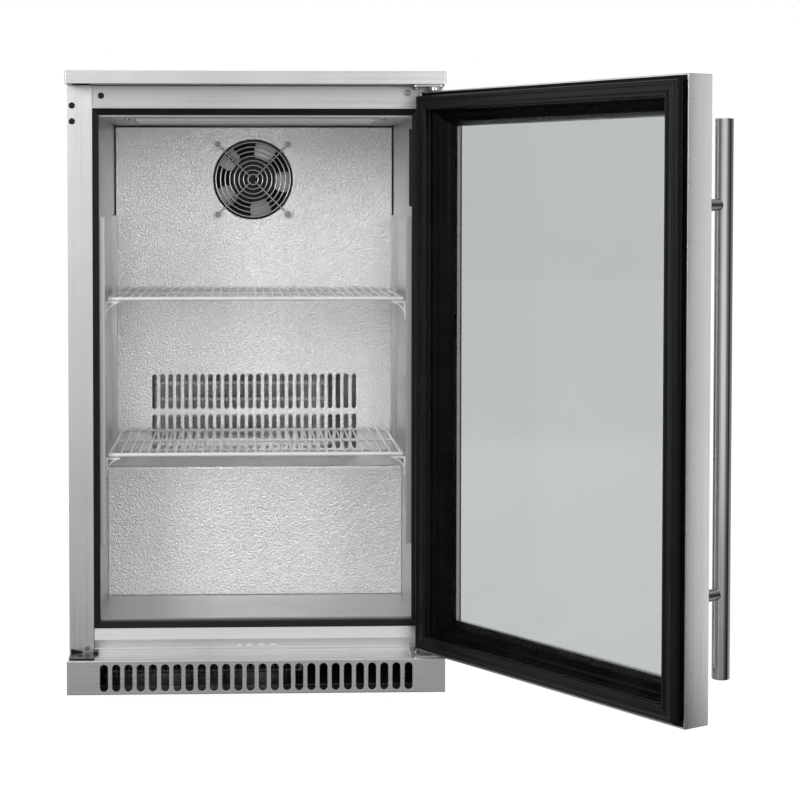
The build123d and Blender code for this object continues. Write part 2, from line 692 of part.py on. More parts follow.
LIGHT_Y = (-176.0, -150.0)
LIGHT_HX = 160.0
with BuildPart() as ceiling_light_body:
    block((-LIGHT_HX, LIGHT_HX), LIGHT_Y, (ROOM_CEILING - 5, ROOM_CEILING))
    block((-LIGHT_HX - 20, LIGHT_HX + 20), (-169, -157), (ROOM_CEILING - 1.2, ROOM_CEILING))
    for end in (-LIGHT_HX - 13, LIGHT_HX + 13):
        with Locations((end, -163, ROOM_CEILING - 2.2)):
            Cylinder(3.4, 2.2)
ceiling_light_body.part.label = "ceiling_light_body"
export_step(ceiling_light_body.part, "parts/ceiling_light_body.step")

with BuildPart() as ceiling_light_lens:
    block(
        (-LIGHT_HX + 4, LIGHT_HX - 4),
        (LIGHT_Y[0] + 2, LIGHT_Y[1] - 2),
        (ROOM_CEILING - 9, ROOM_CEILING - 5),
    )
    fillet(ceiling_light_lens.edges().filter_by(Axis.X).group_by(Axis.Z)[0], 2.4)
ceiling_light_lens.part.label = "ceiling_light_lens"
export_step(ceiling_light_lens.part, "parts/ceiling_light_lens.step")

with BuildPart() as side_lamp:
    block((ROOM_HX - 3, ROOM_HX), (LAMP_Y - 3.5, LAMP_Y + 3.5), LAMP_Z)
    fillet(side_lamp.faces().sort_by(Axis.X)[0].edges(), 1.2)
side_lamp.part.label = "side_lamp"
export_step(side_lamp.part, "parts/side_lamp.step")

# The controller's housing sits behind the sill, with a light guide in each of the sill's marks
with BuildPart() as controller:
    block((-36, 36), (FRAME_Y + 2.6, FOAM_FRONT - 0.2), (46.5, 78))
    for mark_x, mark_w in SILL_MARKS:
        block(
            (mark_x - mark_w / 2 + 0.05, mark_x + mark_w / 2 - 0.05),
            (FRAME_Y + 0.6, FRAME_Y + 3),
            (MARK_Z[0] + 0.05, MARK_Z[1] - 0.05),
        )
controller.part.label = "controller"
export_step(controller.part, "parts/controller.step")

# ---------------------------------------------------------------- compressor compartment

SHELL_HIGH = 130.0
SHELL_MID = 100.0
SHELL_ROUND = 32.0
SEAM_T = 7.0
PLATE_HALF = (88.0, 50.0)
PLATE_Z = (22.0, 25.0)
MOUNT_PITCH = (160.0, 84.0)
MOUNT_R = 9.0
with BuildPart() as compressor:
    with Locations((COMPRESSOR[0], COMPRESSOR[1], SHELL_MID)):
        Cylinder(COMPRESSOR_R, SHELL_HIGH)
    fillet(compressor.edges().filter_by(GeomType.CIRCLE), SHELL_ROUND)
    with Locations((COMPRESSOR[0], COMPRESSOR[1], SHELL_MID - 5)):
        Cylinder(COMPRESSOR_R + 2.5, SEAM_T)
    block(
        (COMPRESSOR[0] - PLATE_HALF[0], COMPRESSOR[0] + PLATE_HALF[0]),
        (COMPRESSOR[1] - PLATE_HALF[1], COMPRESSOR[1] + PLATE_HALF[1]),
        PLATE_Z,
    )
    with Locations((COMPRESSOR[0], COMPRESSOR[1], PLATE_Z[0] + 8)):
        Cylinder(50, 16)
    # The terminal box on the shell's front
    block(
        (COMPRESSOR[0] - 26, COMPRESSOR[0] + 26),
        (COMPRESSOR[1] - COMPRESSOR_R - 22, COMPRESSOR[1] - 40),
        (75, 125),
    )
    with Locations(Location((COMPRESSOR[0], COMPRESSOR[1], 0))):
        with GridLocations(*MOUNT_PITCH, 2, 2):
            Cylinder(5.0, 60, mode=Mode.SUBTRACT)
compressor.part.label = "compressor"
export_step(compressor.part, "parts/compressor.step")

mounts = []
for side_x in (-0.5, 0.5):
    for side_y in (-0.5, 0.5):
        mount_x = COMPRESSOR[0] + side_x * MOUNT_PITCH[0]
        mount_y = COMPRESSOR[1] + side_y * MOUNT_PITCH[1]
        with BuildPart() as mount:
            with Locations((mount_x, mount_y, (PAN_T + PLATE_Z[0]) / 2)):
                Cylinder(MOUNT_R, PLATE_Z[0] - PAN_T)
            with Locations((mount_x, mount_y, PLATE_Z[1])):
                Cylinder(4.9, 8)
            with Locations((mount_x, mount_y, PLATE_Z[1] + 2)):
                Cylinder(MOUNT_R - 1, 3.4)
        mounts.append(mount.part)
export_group("compressor_mounts", mounts)

COIL_X = (-196.0, 60.0)
COIL_Y = (-192.0, -132.0)
COIL_Z = (8.0, 40.0)
COIL_FINS = 43
COIL_FIN_T = 0.5
COIL_TUBE_R = 3.5
coil_rows = [COIL_Y[0] + 12 + 18 * row for row in range(3)]
coil_levels = (COIL_Z[0] + 8, COIL_Z[0] + 24)
coil_fin_pitch = (COIL_X[1] - COIL_X[0] - 16) / (COIL_FINS - 1)
with BuildPart() as condenser:
    for i in range(COIL_FINS):
        fin_x = COIL_X[0] + 8 + i * coil_fin_pitch
        block((fin_x - COIL_FIN_T / 2, fin_x + COIL_FIN_T / 2), COIL_Y, COIL_Z)
    for tube_y in coil_rows:
        for tube_z in coil_levels:
            with Locations(((COIL_X[0] + COIL_X[1]) / 2, tube_y, tube_z)):
                Cylinder(COIL_TUBE_R, COIL_X[1] - COIL_X[0], rotation=(0, 90, 0))
    for end in COIL_X:
        for tube_y in coil_rows:
            with Locations((end, tube_y, sum(coil_levels) / 2)):
                Cylinder(COIL_TUBE_R, coil_levels[1] - coil_levels[0])
            with Locations(*[(end, tube_y, tube_z) for tube_z in coil_levels]):
                Sphere(COIL_TUBE_R)
condenser.part.label = "condenser"
export_step(condenser.part, "parts/condenser.step")

HOT_MOTOR_R = 28.0
HOT_MOTOR_LONG = 44.0
HOT_SHAFT_R = 3.0
with BuildPart(Plane.YZ.offset(HOT_FAN[0] - 68)) as condenser_fan_motor:
    with Locations((HOT_FAN[1], HOT_FAN[2], HOT_MOTOR_LONG / 2)):
        Cylinder(HOT_MOTOR_R, HOT_MOTOR_LONG)
    with Locations((HOT_FAN[1], HOT_FAN[2], HOT_MOTOR_LONG + 13)):
        Cylinder(HOT_SHAFT_R, 26)
    with Locations((HOT_FAN[1], (HOT_FAN[2] + PAN_T) / 2, 10)):
        Box(24, HOT_FAN[2] - PAN_T, 20)
condenser_fan_motor.part.label = "condenser_fan_motor"
export_step(condenser_fan_motor.part, "parts/condenser_fan_motor.step")

hot_plane = Plane(origin=(HOT_FAN[0] - 10, HOT_FAN[1], HOT_FAN[2]), x_dir=(0, 1, 0), z_dir=(1, 0, 0))
condenser_fan = fan_rotor(hot_plane, 20.0, 16.0, HOT_SHAFT_R + 0.05, 12.0, HOT_FAN_R, 4, 46.0, 26.0)
condenser_fan.label = "condenser_fan"
export_step(condenser_fan, "parts/condenser_fan.step")

SHROUD_HIGH = 210.0
SHROUD_WIDE = 170.0
SHROUD_DEEP = 20.0
SHROUD_WALL = 2.0
shroud_middle = (HOT_FAN[1], (PAN_T + SHROUD_HIGH) / 2)
with BuildPart(Plane.YZ.offset(HOT_FAN[0] - SHROUD_DEEP)) as condenser_fan_shroud:
    with Locations((*shroud_middle, SHROUD_DEEP / 2)):
        Box(SHROUD_WIDE, SHROUD_HIGH - PAN_T, SHROUD_DEEP)
    with Locations((HOT_FAN[1], HOT_FAN[2], SHROUD_DEEP / 2)):
        Cylinder(HOT_FAN_R + 4, SHROUD_DEEP + 2, mode=Mode.SUBTRACT)
    with Locations((*shroud_middle, (SHROUD_DEEP - SHROUD_WALL) / 2)):
        Box(
            SHROUD_WIDE - 2 * SHROUD_WALL,
            SHROUD_HIGH - PAN_T - 2 * SHROUD_WALL,
            SHROUD_DEEP - SHROUD_WALL,
            mode=Mode.SUBTRACT,
        )
    with BuildSketch(Plane.YZ.offset(HOT_FAN[0] - SHROUD_DEEP)):
        with Locations((HOT_FAN[1], HOT_FAN[2])):
            Circle(HOT_FAN_R + 4 + SHROUD_WALL)
            Circle(HOT_FAN_R + 4, mode=Mode.SUBTRACT)
    extrude(amount=SHROUD_DEEP)
condenser_fan_shroud.part.label = "condenser_fan_shroud"
export_step(condenser_fan_shroud.part, "parts/condenser_fan_shroud.step")

TRAY_X = (-226.0, -140.0)
TRAY_Y = (24.0, 190.0)
TRAY_TOP = 30.0
with BuildPart() as drip_tray:
    block(TRAY_X, TRAY_Y, (PAN_T, TRAY_TOP))
    fillet(drip_tray.edges().filter_by(Axis.Z), 10)
    offset(amount=-2, openings=drip_tray.faces().sort_by(Axis.Z)[-1])
drip_tray.part.label = "drip_tray"
export_step(drip_tray.part, "parts/drip_tray.step")

LINE_R = 3.0
shell_side = COMPRESSOR[1] - COMPRESSOR_R
discharge = tube(
    [
        (COMPRESSOR[0] + 50, shell_side + 16, 60),
        (COMPRESSOR[0] + 50, 20, 60),
        (COMPRESSOR[0] + 50, 20, 32),
        (COMPRESSOR[0] + 50, -162, 32),
        (COIL_X[1] + 4, -162, 32),
    ],
    LINE_R,
    10,
)
suction = tube(
    [
        (COMPRESSOR[0] - 40, COMPRESSOR[1] + 66, 130),
        (COMPRESSOR[0] - 40, 226, 130),
        (COMPRESSOR[0] - 40, 226, MACHINE_TOP + SHEET),
    ],
    LINE_R,
    12,
)
export_group("refrigerant_lines", [discharge, suction])

with BuildPart() as power_inlet:
    block((INLET_X - 24, INLET_X + 24), (BACK - 20, BACK - SHEET), (INLET_Z - 14, INLET_Z + 14))
    block((INLET_X - 29, INLET_X + 29), (BACK, BACK + 2.5), (INLET_Z - 17, INLET_Z + 17))
    block((INLET_X - 24, INLET_X + 24), (BACK - SHEET, BACK), (INLET_Z - 14, INLET_Z + 14))
    block(
        (INLET_X - 12.5, INLET_X + 12.5),
        (BACK - 14, BACK + 3),
        (INLET_Z - 8.5, INLET_Z + 8.5),
        Mode.SUBTRACT,
    )
    for pin_x, pin_z in ((-7, -2), (7, -2), (0, 3)):
        block(
            (INLET_X + pin_x - 1, INLET_X + pin_x + 1),
            (BACK - 15, BACK - 2),
            (INLET_Z + pin_z - 2, INLET_Z + pin_z + 2),
        )
power_inlet.part.label = "power_inlet"
export_step(power_inlet.part, "parts/power_inlet.step")

FOOT_R = 17.0
FOOT_PAD = 8.0
FOOT_STUD = (-6.0, 16.0)
for place, label in zip(feet_places, ("front_left", "rear_left", "front_right", "rear_right")):
    with BuildPart() as foot:
        with Locations((place[0], place[1], -FOOT_HIGH + FOOT_PAD / 2)):
            Cylinder(FOOT_R, FOOT_PAD)
        fillet(foot.faces().sort_by(Axis.Z)[-1].edges(), 2)
        with Locations((place[0], place[1], -FOOT_HIGH + FOOT_PAD + 3)):
            Cylinder(7.5, 6)
        with Locations((place[0], place[1], sum(FOOT_STUD) / 2)):
            Cylinder(PIN_R, FOOT_STUD[1] - FOOT_STUD[0])
    foot.part.label = f"foot_{label}"
    export_step(foot.part, f"parts/foot_{label}.step")

# ---------------------------------------------------------------- hinges on the cabinet

PLATE = 3.0
FLANGE = 2.0
BRACKET_X = (206.0, SIDE - 1.5)
SCREW_HOLE_R = 2.2
with BuildPart() as top_hinge_bracket:
    block(BRACKET_X, (FRONT + 6, FRAME_Y), (WORKTOP_UNDER - PLATE, WORKTOP_UNDER))
    fillet(top_hinge_bracket.edges().filter_by(Axis.Z).sort_by(Axis.Y)[:2], 6)
    with Locations((PIVOT[0], PIVOT[1], WORKTOP_UNDER - PLATE - 2.4)):
        Cylinder(8, 4.8)
    block(
        (HINGE_FLANGE_X, BRACKET_X[1]),
        (FRAME_Y - FLANGE, FRAME_Y),
        (HINGE_FLANGE_LOW, WORKTOP_UNDER),
    )
    with BuildSketch(Plane.XZ.offset(-FRAME_Y)):
        with Locations((HINGE_FLANGE_X, HINGE_FLANGE_Z)):
            Circle(HINGE_FLANGE_Z - HINGE_FLANGE_LOW)
    extrude(amount=FLANGE)
    with Locations((PIVOT[0], PIVOT[1], WORKTOP_UNDER - 4)):
        Cylinder(PIN_R, 20, mode=Mode.SUBTRACT)
    with Locations((HINGE_SCREW_X, HINGE_SCREW_TOP_Y, WORKTOP_UNDER)):
        Cylinder(SCREW_HOLE_R, 20, mode=Mode.SUBTRACT)
    with Locations((HINGE_FLANGE_X, FRAME_Y, HINGE_FLANGE_Z)):
        Cylinder(SCREW_HOLE_R, 10, rotation=(90, 0, 0), mode=Mode.SUBTRACT)
top_hinge_bracket.part.label = "top_hinge_bracket"
export_step(top_hinge_bracket.part, "parts/top_hinge_bracket.step")

with BuildPart() as bottom_hinge_bracket:
    block(BRACKET_X, (FRONT + 3, FRAME_Y - 0.1), (KICK_TOP, KICK_TOP + PLATE))
    fillet(bottom_hinge_bracket.edges().filter_by(Axis.Z).sort_by(Axis.Y)[:2], 6)
    block(BRACKET_X, (FRAME_Y - FLANGE - 0.1, FRAME_Y - 0.1), (KICK_TOP, KICK_TOP + 10))
    with Locations((PIVOT[0], PIVOT[1], KICK_TOP)):
        Cylinder(PIN_R, 20, mode=Mode.SUBTRACT)
    with Locations((HINGE_SCREW_X, HINGE_SCREW_LOW_Y, KICK_TOP)):
        Cylinder(SCREW_HOLE_R, 20, mode=Mode.SUBTRACT)
bottom_hinge_bracket.part.label = "bottom_hinge_bracket"
export_step(bottom_hinge_bracket.part, "parts/bottom_hinge_bracket.step")

pins = []
for low, high in ((WORKTOP_UNDER - 27.5, WORKTOP_UNDER), (KICK_TOP, KICK_TOP + 24.5)):
    with BuildPart() as pin:
        with Locations((PIVOT[0], PIVOT[1], (low + high) / 2)):
            Cylinder(PIN_R, high - low)
    pins.append(pin.part)
export_group("hinge_pins", pins)

hinge_screws = []
for screw_y, head, up in (
    (HINGE_SCREW_TOP_Y, WORKTOP_UNDER - PLATE, 1),
    (HINGE_SCREW_LOW_Y, KICK_TOP + PLATE, -1),
):
    with BuildPart() as screw:
        with Locations((HINGE_SCREW_X, screw_y, head - up * 1.1)):
            Cylinder(4.2, 2.2)
        with Locations((HINGE_SCREW_X, screw_y, head + up * 2.6)):
            Cylinder(2.1, 5.2)
        with Locations((HINGE_SCREW_X, screw_y, head - up * 2.0)):
            Box(5.2, 1.0, 1.2, mode=Mode.SUBTRACT)
            Box(1.0, 5.2, 1.2, mode=Mode.SUBTRACT)
    hinge_screws.append(screw.part)

# Two pan-head screws in the front frame: in the top bracket's flange and at the foot of the left stile,
# both just outside the path of the door gasket
for (screw_x, screw_z), seat, head_r in (
    ((HINGE_FLANGE_X, HINGE_FLANGE_Z), FRAME_Y - FLANGE, 3.9),
    (STILE_SCREW, FRAME_Y, 3.3),
):
    with BuildPart(Plane.XZ.offset(-seat)) as face_screw:
        with Locations((screw_x, screw_z, 1.2)):
            Cylinder(head_r, 2.4)
        fillet(face_screw.faces().sort_by(Axis.Y)[0].edges(), 1.1)
        with Locations((screw_x, screw_z, -4)):
            Cylinder(2.1, 8)
        with Locations((screw_x, screw_z, 2.2)):
            Box(4.2, 0.9, 1.2, mode=Mode.SUBTRACT)
            Box(0.9, 4.2, 1.2, mode=Mode.SUBTRACT)
    hinge_screws.append(face_screw.part)
export_group("hinge_screws", hinge_screws)

plugs = []
for plug_x, plug_z in ((PLUG_X, PLUG_Z[0]), (PLUG_X, PLUG_Z[1]), RAIL_PLUG):
    with BuildPart(Plane.XZ.offset(-FRAME_Y)) as plug:
        with Locations((plug_x, plug_z, LOW_HEAD / 2)):
            Cylinder(4.2, LOW_HEAD)
        fillet(plug.faces().sort_by(Axis.Y)[0].edges(), LOW_HEAD * 0.4)
        with Locations((plug_x, plug_z, -2)):
            Cylinder(2.9, 4)
    plugs.append(plug.part)
export_group("hole_plugs", plugs)

# The spare hinge plate at the lower left: a low plate with a wedge-shaped flange and an end stop
BLANK_X = (-SIDE + 2, -211.3)
BLANK_TOP = KICK_TOP + 2
with BuildPart() as blank_hinge_plate:
    block((BLANK_X[0], BLANK_X[1] - 3), (FRAME_Y - 39, FRAME_Y), (KICK_TOP, BLANK_TOP))
    fillet(blank_hinge_plate.edges().filter_by(Axis.Z).sort_by(Axis.Y)[:2], 5)
    with BuildSketch(Plane.XZ.offset(-FRAME_Y)):
        with BuildLine():
            Polyline(
                (BLANK_X[0], KICK_TOP + 1),
                (BLANK_X[0], KICK_TOP + 7),
                (BLANK_X[0] + 15, KICK_TOP + 3.6),
                (BLANK_X[0] + 15, KICK_TOP + 1),
                close=True,
            )
        make_face()
    extrude(amount=2)
    block((BLANK_X[1] - 6.3, BLANK_X[1]), (FRAME_Y - 9, FRAME_Y), (KICK_TOP, KICK_TOP + 4.6))
    with Locations((BLANK_X[0] + 14, FRAME_Y - 22, KICK_TOP)):
        Cylinder(PIN_R + 0.2, 20, mode=Mode.SUBTRACT)
blank_hinge_plate.part.label = "blank_hinge_plate"
export_step(blank_hinge_plate.part, "parts/blank_hinge_plate.step")

# ---------------------------------------------------------------- door

turn = math.radians(DOOR_OPEN)
door_plane = Plane(
    origin=(PIVOT[0], PIVOT[1], 0), x_dir=(math.cos(turn), math.sin(turn), 0), z_dir=(0, 0, 1)
)
DOOR_X = (DOOR_EDGE - DOOR_W, DOOR_EDGE)
DOOR_Z = (DOOR_LOW, DOOR_HIGH)


def cut_bush_pockets(bars, radius):
    """Open the top and the bottom bar for the two hinge bushes."""
    opened = []
    for bar in bars:
        with BuildPart() as pocketed:
            add(bar)
            with Locations(
                door_plane.location * Location((0, 0, DOOR_HIGH)),
                door_plane.location * Location((0, 0, DOOR_LOW)),
            ):
                Cylinder(radius, 2 * BUSH_LONG, mode=Mode.SUBTRACT)
        opened.append(pocketed.part)
    return opened


door_skin = [
    (0, DOOR_OUT),
    (BORDER, DOOR_OUT),
    (BORDER, DOOR_OUT + SHEET),
    (SHEET, DOOR_OUT + SHEET),
    (SHEET, DOOR_IN - SHEET),
    (HEM_LIP, DOOR_IN - SHEET),
    (HEM_LIP, DOOR_IN),
    (0, DOOR_IN),
]
export_group("door_frame", cut_bush_pockets(mitred_frame(door_plane, DOOR_X, DOOR_Z, door_skin), BUSH_R))

door_fill = [
    (SHEET, DOOR_OUT + SHEET),
    (GLAZING_INSET, DOOR_OUT + SHEET),
    (GLAZING_INSET, -2),
    (25, 9),
    (HEM_LIP, 9),
    (HEM_LIP, DOOR_IN - SHEET),
    (SHEET, DOOR_IN - SHEET),
]
export_group("door_foam", cut_bush_pockets(mitred_frame(door_plane, DOOR_X, DOOR_Z, door_fill), BUSH_R))

door_trim = [
    (HEM_LIP, 9),
    (25, 9),
    (GLAZING_INSET, -2),
    (38, INNER_PANE_Y + PANE_T),
    (BORDER, INNER_PANE_Y + PANE_T),
    (40, 0.5),
    (27, DOOR_IN),
    (HEM_LIP, DOOR_IN),
]
export_group("door_inner_frame", mitred_frame(door_plane, DOOR_X, DOOR_Z, door_trim))

gasket_shape = [
    (GASKET_EDGE + 1, DOOR_IN),
    (GASKET_EDGE + 1, 18.0),
    (GASKET_EDGE, 19.0),
    (GASKET_EDGE, 26.0),
    (GASKET_EDGE + 1.5, GASKET_OUT),
    (GASKET_IN - 1, GASKET_OUT),
    (GASKET_IN, 26.5),
    (GASKET_IN, 19.0),
    (GASKET_IN - 1.5, 17.5),
    (GASKET_IN - 1.5, DOOR_IN),
]
export_group("door_gasket", mitred_frame(door_plane, DOOR_X, DOOR_Z, gasket_shape))

PANE_X = (DOOR_X[0] + GLAZING_INSET, DOOR_X[1] - GLAZING_INSET)
PANE_Z = (DOOR_LOW + GLAZING_INSET, DOOR_HIGH - GLAZING_INSET)
with BuildPart(door_plane) as outer_pane:
    block(PANE_X, (OUTER_PANE_Y, OUTER_PANE_Y + PANE_T), PANE_Z)
outer_pane.part.label = "outer_pane"
export_step(outer_pane.part, "parts/outer_pane.step")

with BuildPart(door_plane) as inner_pane:
    block(PANE_X, (INNER_PANE_Y, INNER_PANE_Y + PANE_T), PANE_Z)
inner_pane.part.label = "inner_pane"
export_step(inner_pane.part, "parts/inner_pane.step")

spacer_shape = [
    (3, OUTER_PANE_Y + PANE_T),
    (10, OUTER_PANE_Y + PANE_T),
    (10, INNER_PANE_Y),
    (3, INNER_PANE_Y),
]
export_group("glass_spacer", mitred_frame(door_plane, PANE_X, PANE_Z, spacer_shape))

bushes = []
for low, flange in ((DOOR_HIGH - BUSH_LONG, DOOR_HIGH + 0.6), (DOOR_LOW, DOOR_LOW - 0.6)):
    with BuildPart(door_plane) as bush:
        with Locations((0, 0, low + BUSH_LONG / 2)):
            Cylinder(BUSH_R, BUSH_LONG)
        with Locations((0, 0, flange)):
            Cylinder(9, 1.2)
        with Locations((0, 0, low + BUSH_LONG / 2)):
            Cylinder(PIN_R + PIN_CLEARANCE, 2 * BUSH_LONG, mode=Mode.SUBTRACT)
    bushes.append(bush.part)
export_group("hinge_bushes", bushes)

HANDLE_X = DOOR_X[0] + HANDLE_EDGE
HANDLE_Y = DOOR_OUT - HANDLE_OFF
with BuildPart(door_plane) as handle_bar:
    with Locations((HANDLE_X, HANDLE_Y, (HANDLE_LOW + HANDLE_HIGH) / 2)):
        Cylinder(HANDLE_R, HANDLE_HIGH - HANDLE_LOW)
    fillet(handle_bar.edges().filter_by(GeomType.CIRCLE), 1.2)
handle_bar.part.label = "handle_bar"
export_step(handle_bar.part, "parts/handle_bar.step")

posts = []
for post_z in POST_Z:
    with BuildPart(upright(door_plane, DOOR_OUT)) as post:
        with Locations((HANDLE_X, post_z, HANDLE_OFF / 2)):
            Cylinder(POST_R, HANDLE_OFF)
        with Locations((HANDLE_X, post_z, 1.5)):
            Cylinder(POST_R + 1.5, 3)
        with Locations((HANDLE_X, post_z, HANDLE_OFF)):
            Cylinder(HANDLE_R, 60, rotation=(90, 0, 0), mode=Mode.SUBTRACT)
    posts.append(post.part)
export_group("handle_posts", posts)
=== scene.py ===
"""Undercounter refrigerator with its glass door open: looks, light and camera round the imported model.

Lengths are in metres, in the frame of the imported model: x to the right, y to the back, z up.
"""

import json
import math

import bmesh
import bpy
from mathutils import Matrix, Vector, noise


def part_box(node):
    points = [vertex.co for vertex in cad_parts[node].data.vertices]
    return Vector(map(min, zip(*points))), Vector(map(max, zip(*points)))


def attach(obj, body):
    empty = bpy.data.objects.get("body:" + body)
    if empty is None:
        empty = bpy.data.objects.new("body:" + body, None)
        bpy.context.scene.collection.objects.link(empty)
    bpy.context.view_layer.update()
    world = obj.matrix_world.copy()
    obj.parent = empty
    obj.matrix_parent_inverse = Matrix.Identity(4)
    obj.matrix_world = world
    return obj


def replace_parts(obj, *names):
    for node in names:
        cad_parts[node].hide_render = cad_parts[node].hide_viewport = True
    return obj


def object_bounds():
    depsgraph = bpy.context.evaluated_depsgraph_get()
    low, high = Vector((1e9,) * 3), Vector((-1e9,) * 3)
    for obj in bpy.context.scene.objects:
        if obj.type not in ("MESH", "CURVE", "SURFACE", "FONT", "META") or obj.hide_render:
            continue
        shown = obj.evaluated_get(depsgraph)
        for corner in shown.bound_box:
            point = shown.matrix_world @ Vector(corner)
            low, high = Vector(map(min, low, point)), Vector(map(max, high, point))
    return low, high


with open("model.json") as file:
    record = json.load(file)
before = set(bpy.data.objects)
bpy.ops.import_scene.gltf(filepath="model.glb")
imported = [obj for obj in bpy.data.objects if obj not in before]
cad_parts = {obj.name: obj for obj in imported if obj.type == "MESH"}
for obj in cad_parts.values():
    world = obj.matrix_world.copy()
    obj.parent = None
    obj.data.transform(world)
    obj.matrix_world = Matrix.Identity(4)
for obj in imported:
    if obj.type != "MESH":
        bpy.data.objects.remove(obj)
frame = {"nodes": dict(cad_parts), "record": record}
cad_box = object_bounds()
MM = 0.001

# ------------------------------------------------------------------ places taken from the frame

joints = {joint["name"]: joint for joint in frame["record"]["behaviour"]["joints"]}
hinge = joints["door_hinge"]
DOOR_OPEN = -math.radians(hinge["range_deg"][0])
PIVOT = Vector((hinge["pos_m"][0], hinge["pos_m"][1], 0.0))
door_matrix = Matrix.Translation(PIVOT) @ Matrix.Rotation(DOOR_OPEN, 4, "Z")

FLOOR_Z = cad_box[0].z
COVER_LOW, COVER_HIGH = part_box("evaporator_cover")
HUMP_LOW, HUMP_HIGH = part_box("hump_cover")
FAN = joints["evaporator_fan_spin"]["pos_m"]

# ------------------------------------------------------------------ node helpers


class Paint:
    """One procedural material: a Principled shader and short calls that add nodes before it."""

    def __init__(self, name, **sockets):
        self.material = bpy.data.materials.new(name)
        self.material.use_nodes = True
        self.tree = self.material.node_tree
        self.tree.nodes.clear()
        output = self.tree.nodes.new("ShaderNodeOutputMaterial")
        self.shader = self.tree.nodes.new("ShaderNodeBsdfPrincipled")
        self.link(self.shader.outputs["BSDF"], output.inputs["Surface"])
        for socket, value in sockets.items():
            self.shader.inputs[socket.replace("_", " ")].default_value = value
        self.place = self.tree.nodes.new("ShaderNodeTexCoord").outputs["Object"]

    def link(self, source, target):
        self.tree.links.new(source, target)

    def mapped(self, scale):
        """The object's coordinates, stretched."""
        stretched = self.tree.nodes.new("ShaderNodeMapping")
        stretched.inputs["Scale"].default_value = scale
        self.link(self.place, stretched.inputs["Vector"])
        return stretched.outputs["Vector"]

    def noise(self, scale, detail=2.0, vector=None, distortion=0.0, roughness=0.5):
        node = self.tree.nodes.new("ShaderNodeTexNoise")
        node.inputs["Scale"].default_value = scale
        node.inputs["Detail"].default_value = detail
        node.inputs["Distortion"].default_value = distortion
        node.inputs["Roughness"].default_value = roughness
        self.link(self.place if vector is None else vector, node.inputs["Vector"])
        return node.outputs["Fac"]

    def spread(self, value, low, high):
        """The middle part of a noise's values, spread from low to high."""
        node = self.tree.nodes.new("ShaderNodeMapRange")
        node.inputs["From Min"].default_value = 0.3
        node.inputs["From Max"].default_value = 0.7
        node.inputs["To Min"].default_value = low
        node.inputs["To Max"].default_value = high
        self.link(value, node.inputs["Value"])
        return node.outputs["Result"]

    def ramp(self, value, stops):
        """A colour for each value; a stop is a place from 0 to 1 and the tone there."""
        node = self.tree.nodes.new("ShaderNodeValToRGB")
        elements = node.color_ramp.elements
        while len(elements) < len(stops):
            elements.new(0.5)
        for element, (place, tone) in zip(elements, stops):
            element.position = place
            element.color = (*tone, 1.0)
        self.link(value, node.inputs["Fac"])
        return node.outputs["Color"]

    def multiplied(self, first, second):
        """Two colours multiplied. The node's sockets are told apart by place, as several share a name."""
        node = self.tree.nodes.new("ShaderNodeMix")
        node.data_type = "RGBA"
        node.blend_type = "MULTIPLY"
        node.inputs[0].default_value = 1.0
        self.link(first, node.inputs[6])
        self.link(second, node.inputs[7])
        return node.outputs[2]

    def math(self, operation, first, second):
        node = self.tree.nodes.new("ShaderNodeMath")
        node.operation = operation
        for value, socket in zip((first, second), node.inputs):
            if hasattr(value, "links"):
                self.link(value, socket)
            else:
                socket.default_value = value
        return node.outputs["Value"]

    def colour(self, source):
        self.link(source, self.shader.inputs["Base Color"])

    def rough(self, source):
        self.link(source, self.shader.inputs["Roughness"])

    def bump(self, height, distance, strength, edge=0.0):
        """Surface relief, with the model's sharp edges rounded by a small radius if one is given."""
        node = self.tree.nodes.new("ShaderNodeBump")
        node.inputs["Distance"].default_value = distance
        node.inputs["Strength"].default_value = strength
        self.link(height, node.inputs["Height"])
        if edge:
            bevel = self.tree.nodes.new("ShaderNodeBevel")
            bevel.samples = 4
            bevel.inputs["Radius"].default_value = edge
            self.link(bevel.outputs["Normal"], node.inputs["Normal"])
        self.link(node.outputs["Normal"], self.shader.inputs["Normal"])


def grey(level):
    return (level, level, level)


# Noise cells per metre: few along the grain, many across it
GRAIN = {"x": (2.5, 900, 900), "z": (900, 900, 2.5)}
BAND_WIDTH = 18  # the soft bands are this much coarser than the lines


def brushed(name, grain, tone, rough=0.30, streak=0.06, edge=0.6 * MM):
    """Brushed steel: fine lines along the grain, broad soft bands, faint smudges, rounded edges."""
    paint = Paint(name, Metallic=1.0, Anisotropic=0.35)
    lines = paint.noise(1.0, 3.0, paint.mapped(GRAIN[grain]))
    bands = paint.noise(1.0, 2.0, paint.mapped([value / BAND_WIDTH for value in GRAIN[grain]]))
    smudge = paint.noise(9.0, 4.0, roughness=0.6)
    mixed = paint.math("ADD", paint.math("MULTIPLY", lines, 0.55), paint.math("MULTIPLY", bands, 0.45))
    low, high = tone * (1 - streak), tone * (1 + streak)
    fine = paint.ramp(mixed, ((0.32, grey(low)), (0.68, grey(min(high, 1.0)))))
    cloud = paint.ramp(smudge, ((0.30, grey(0.93)), (0.72, grey(1.0))))
    paint.colour(paint.multiplied(fine, cloud))
    worn = paint.spread(smudge, rough - 0.03, rough + 0.05)
    paint.rough(paint.math("ADD", paint.spread(lines, -0.05, 0.07), worn))
    paint.bump(lines, 0.02 * MM, 0.3, edge)
    return paint.material


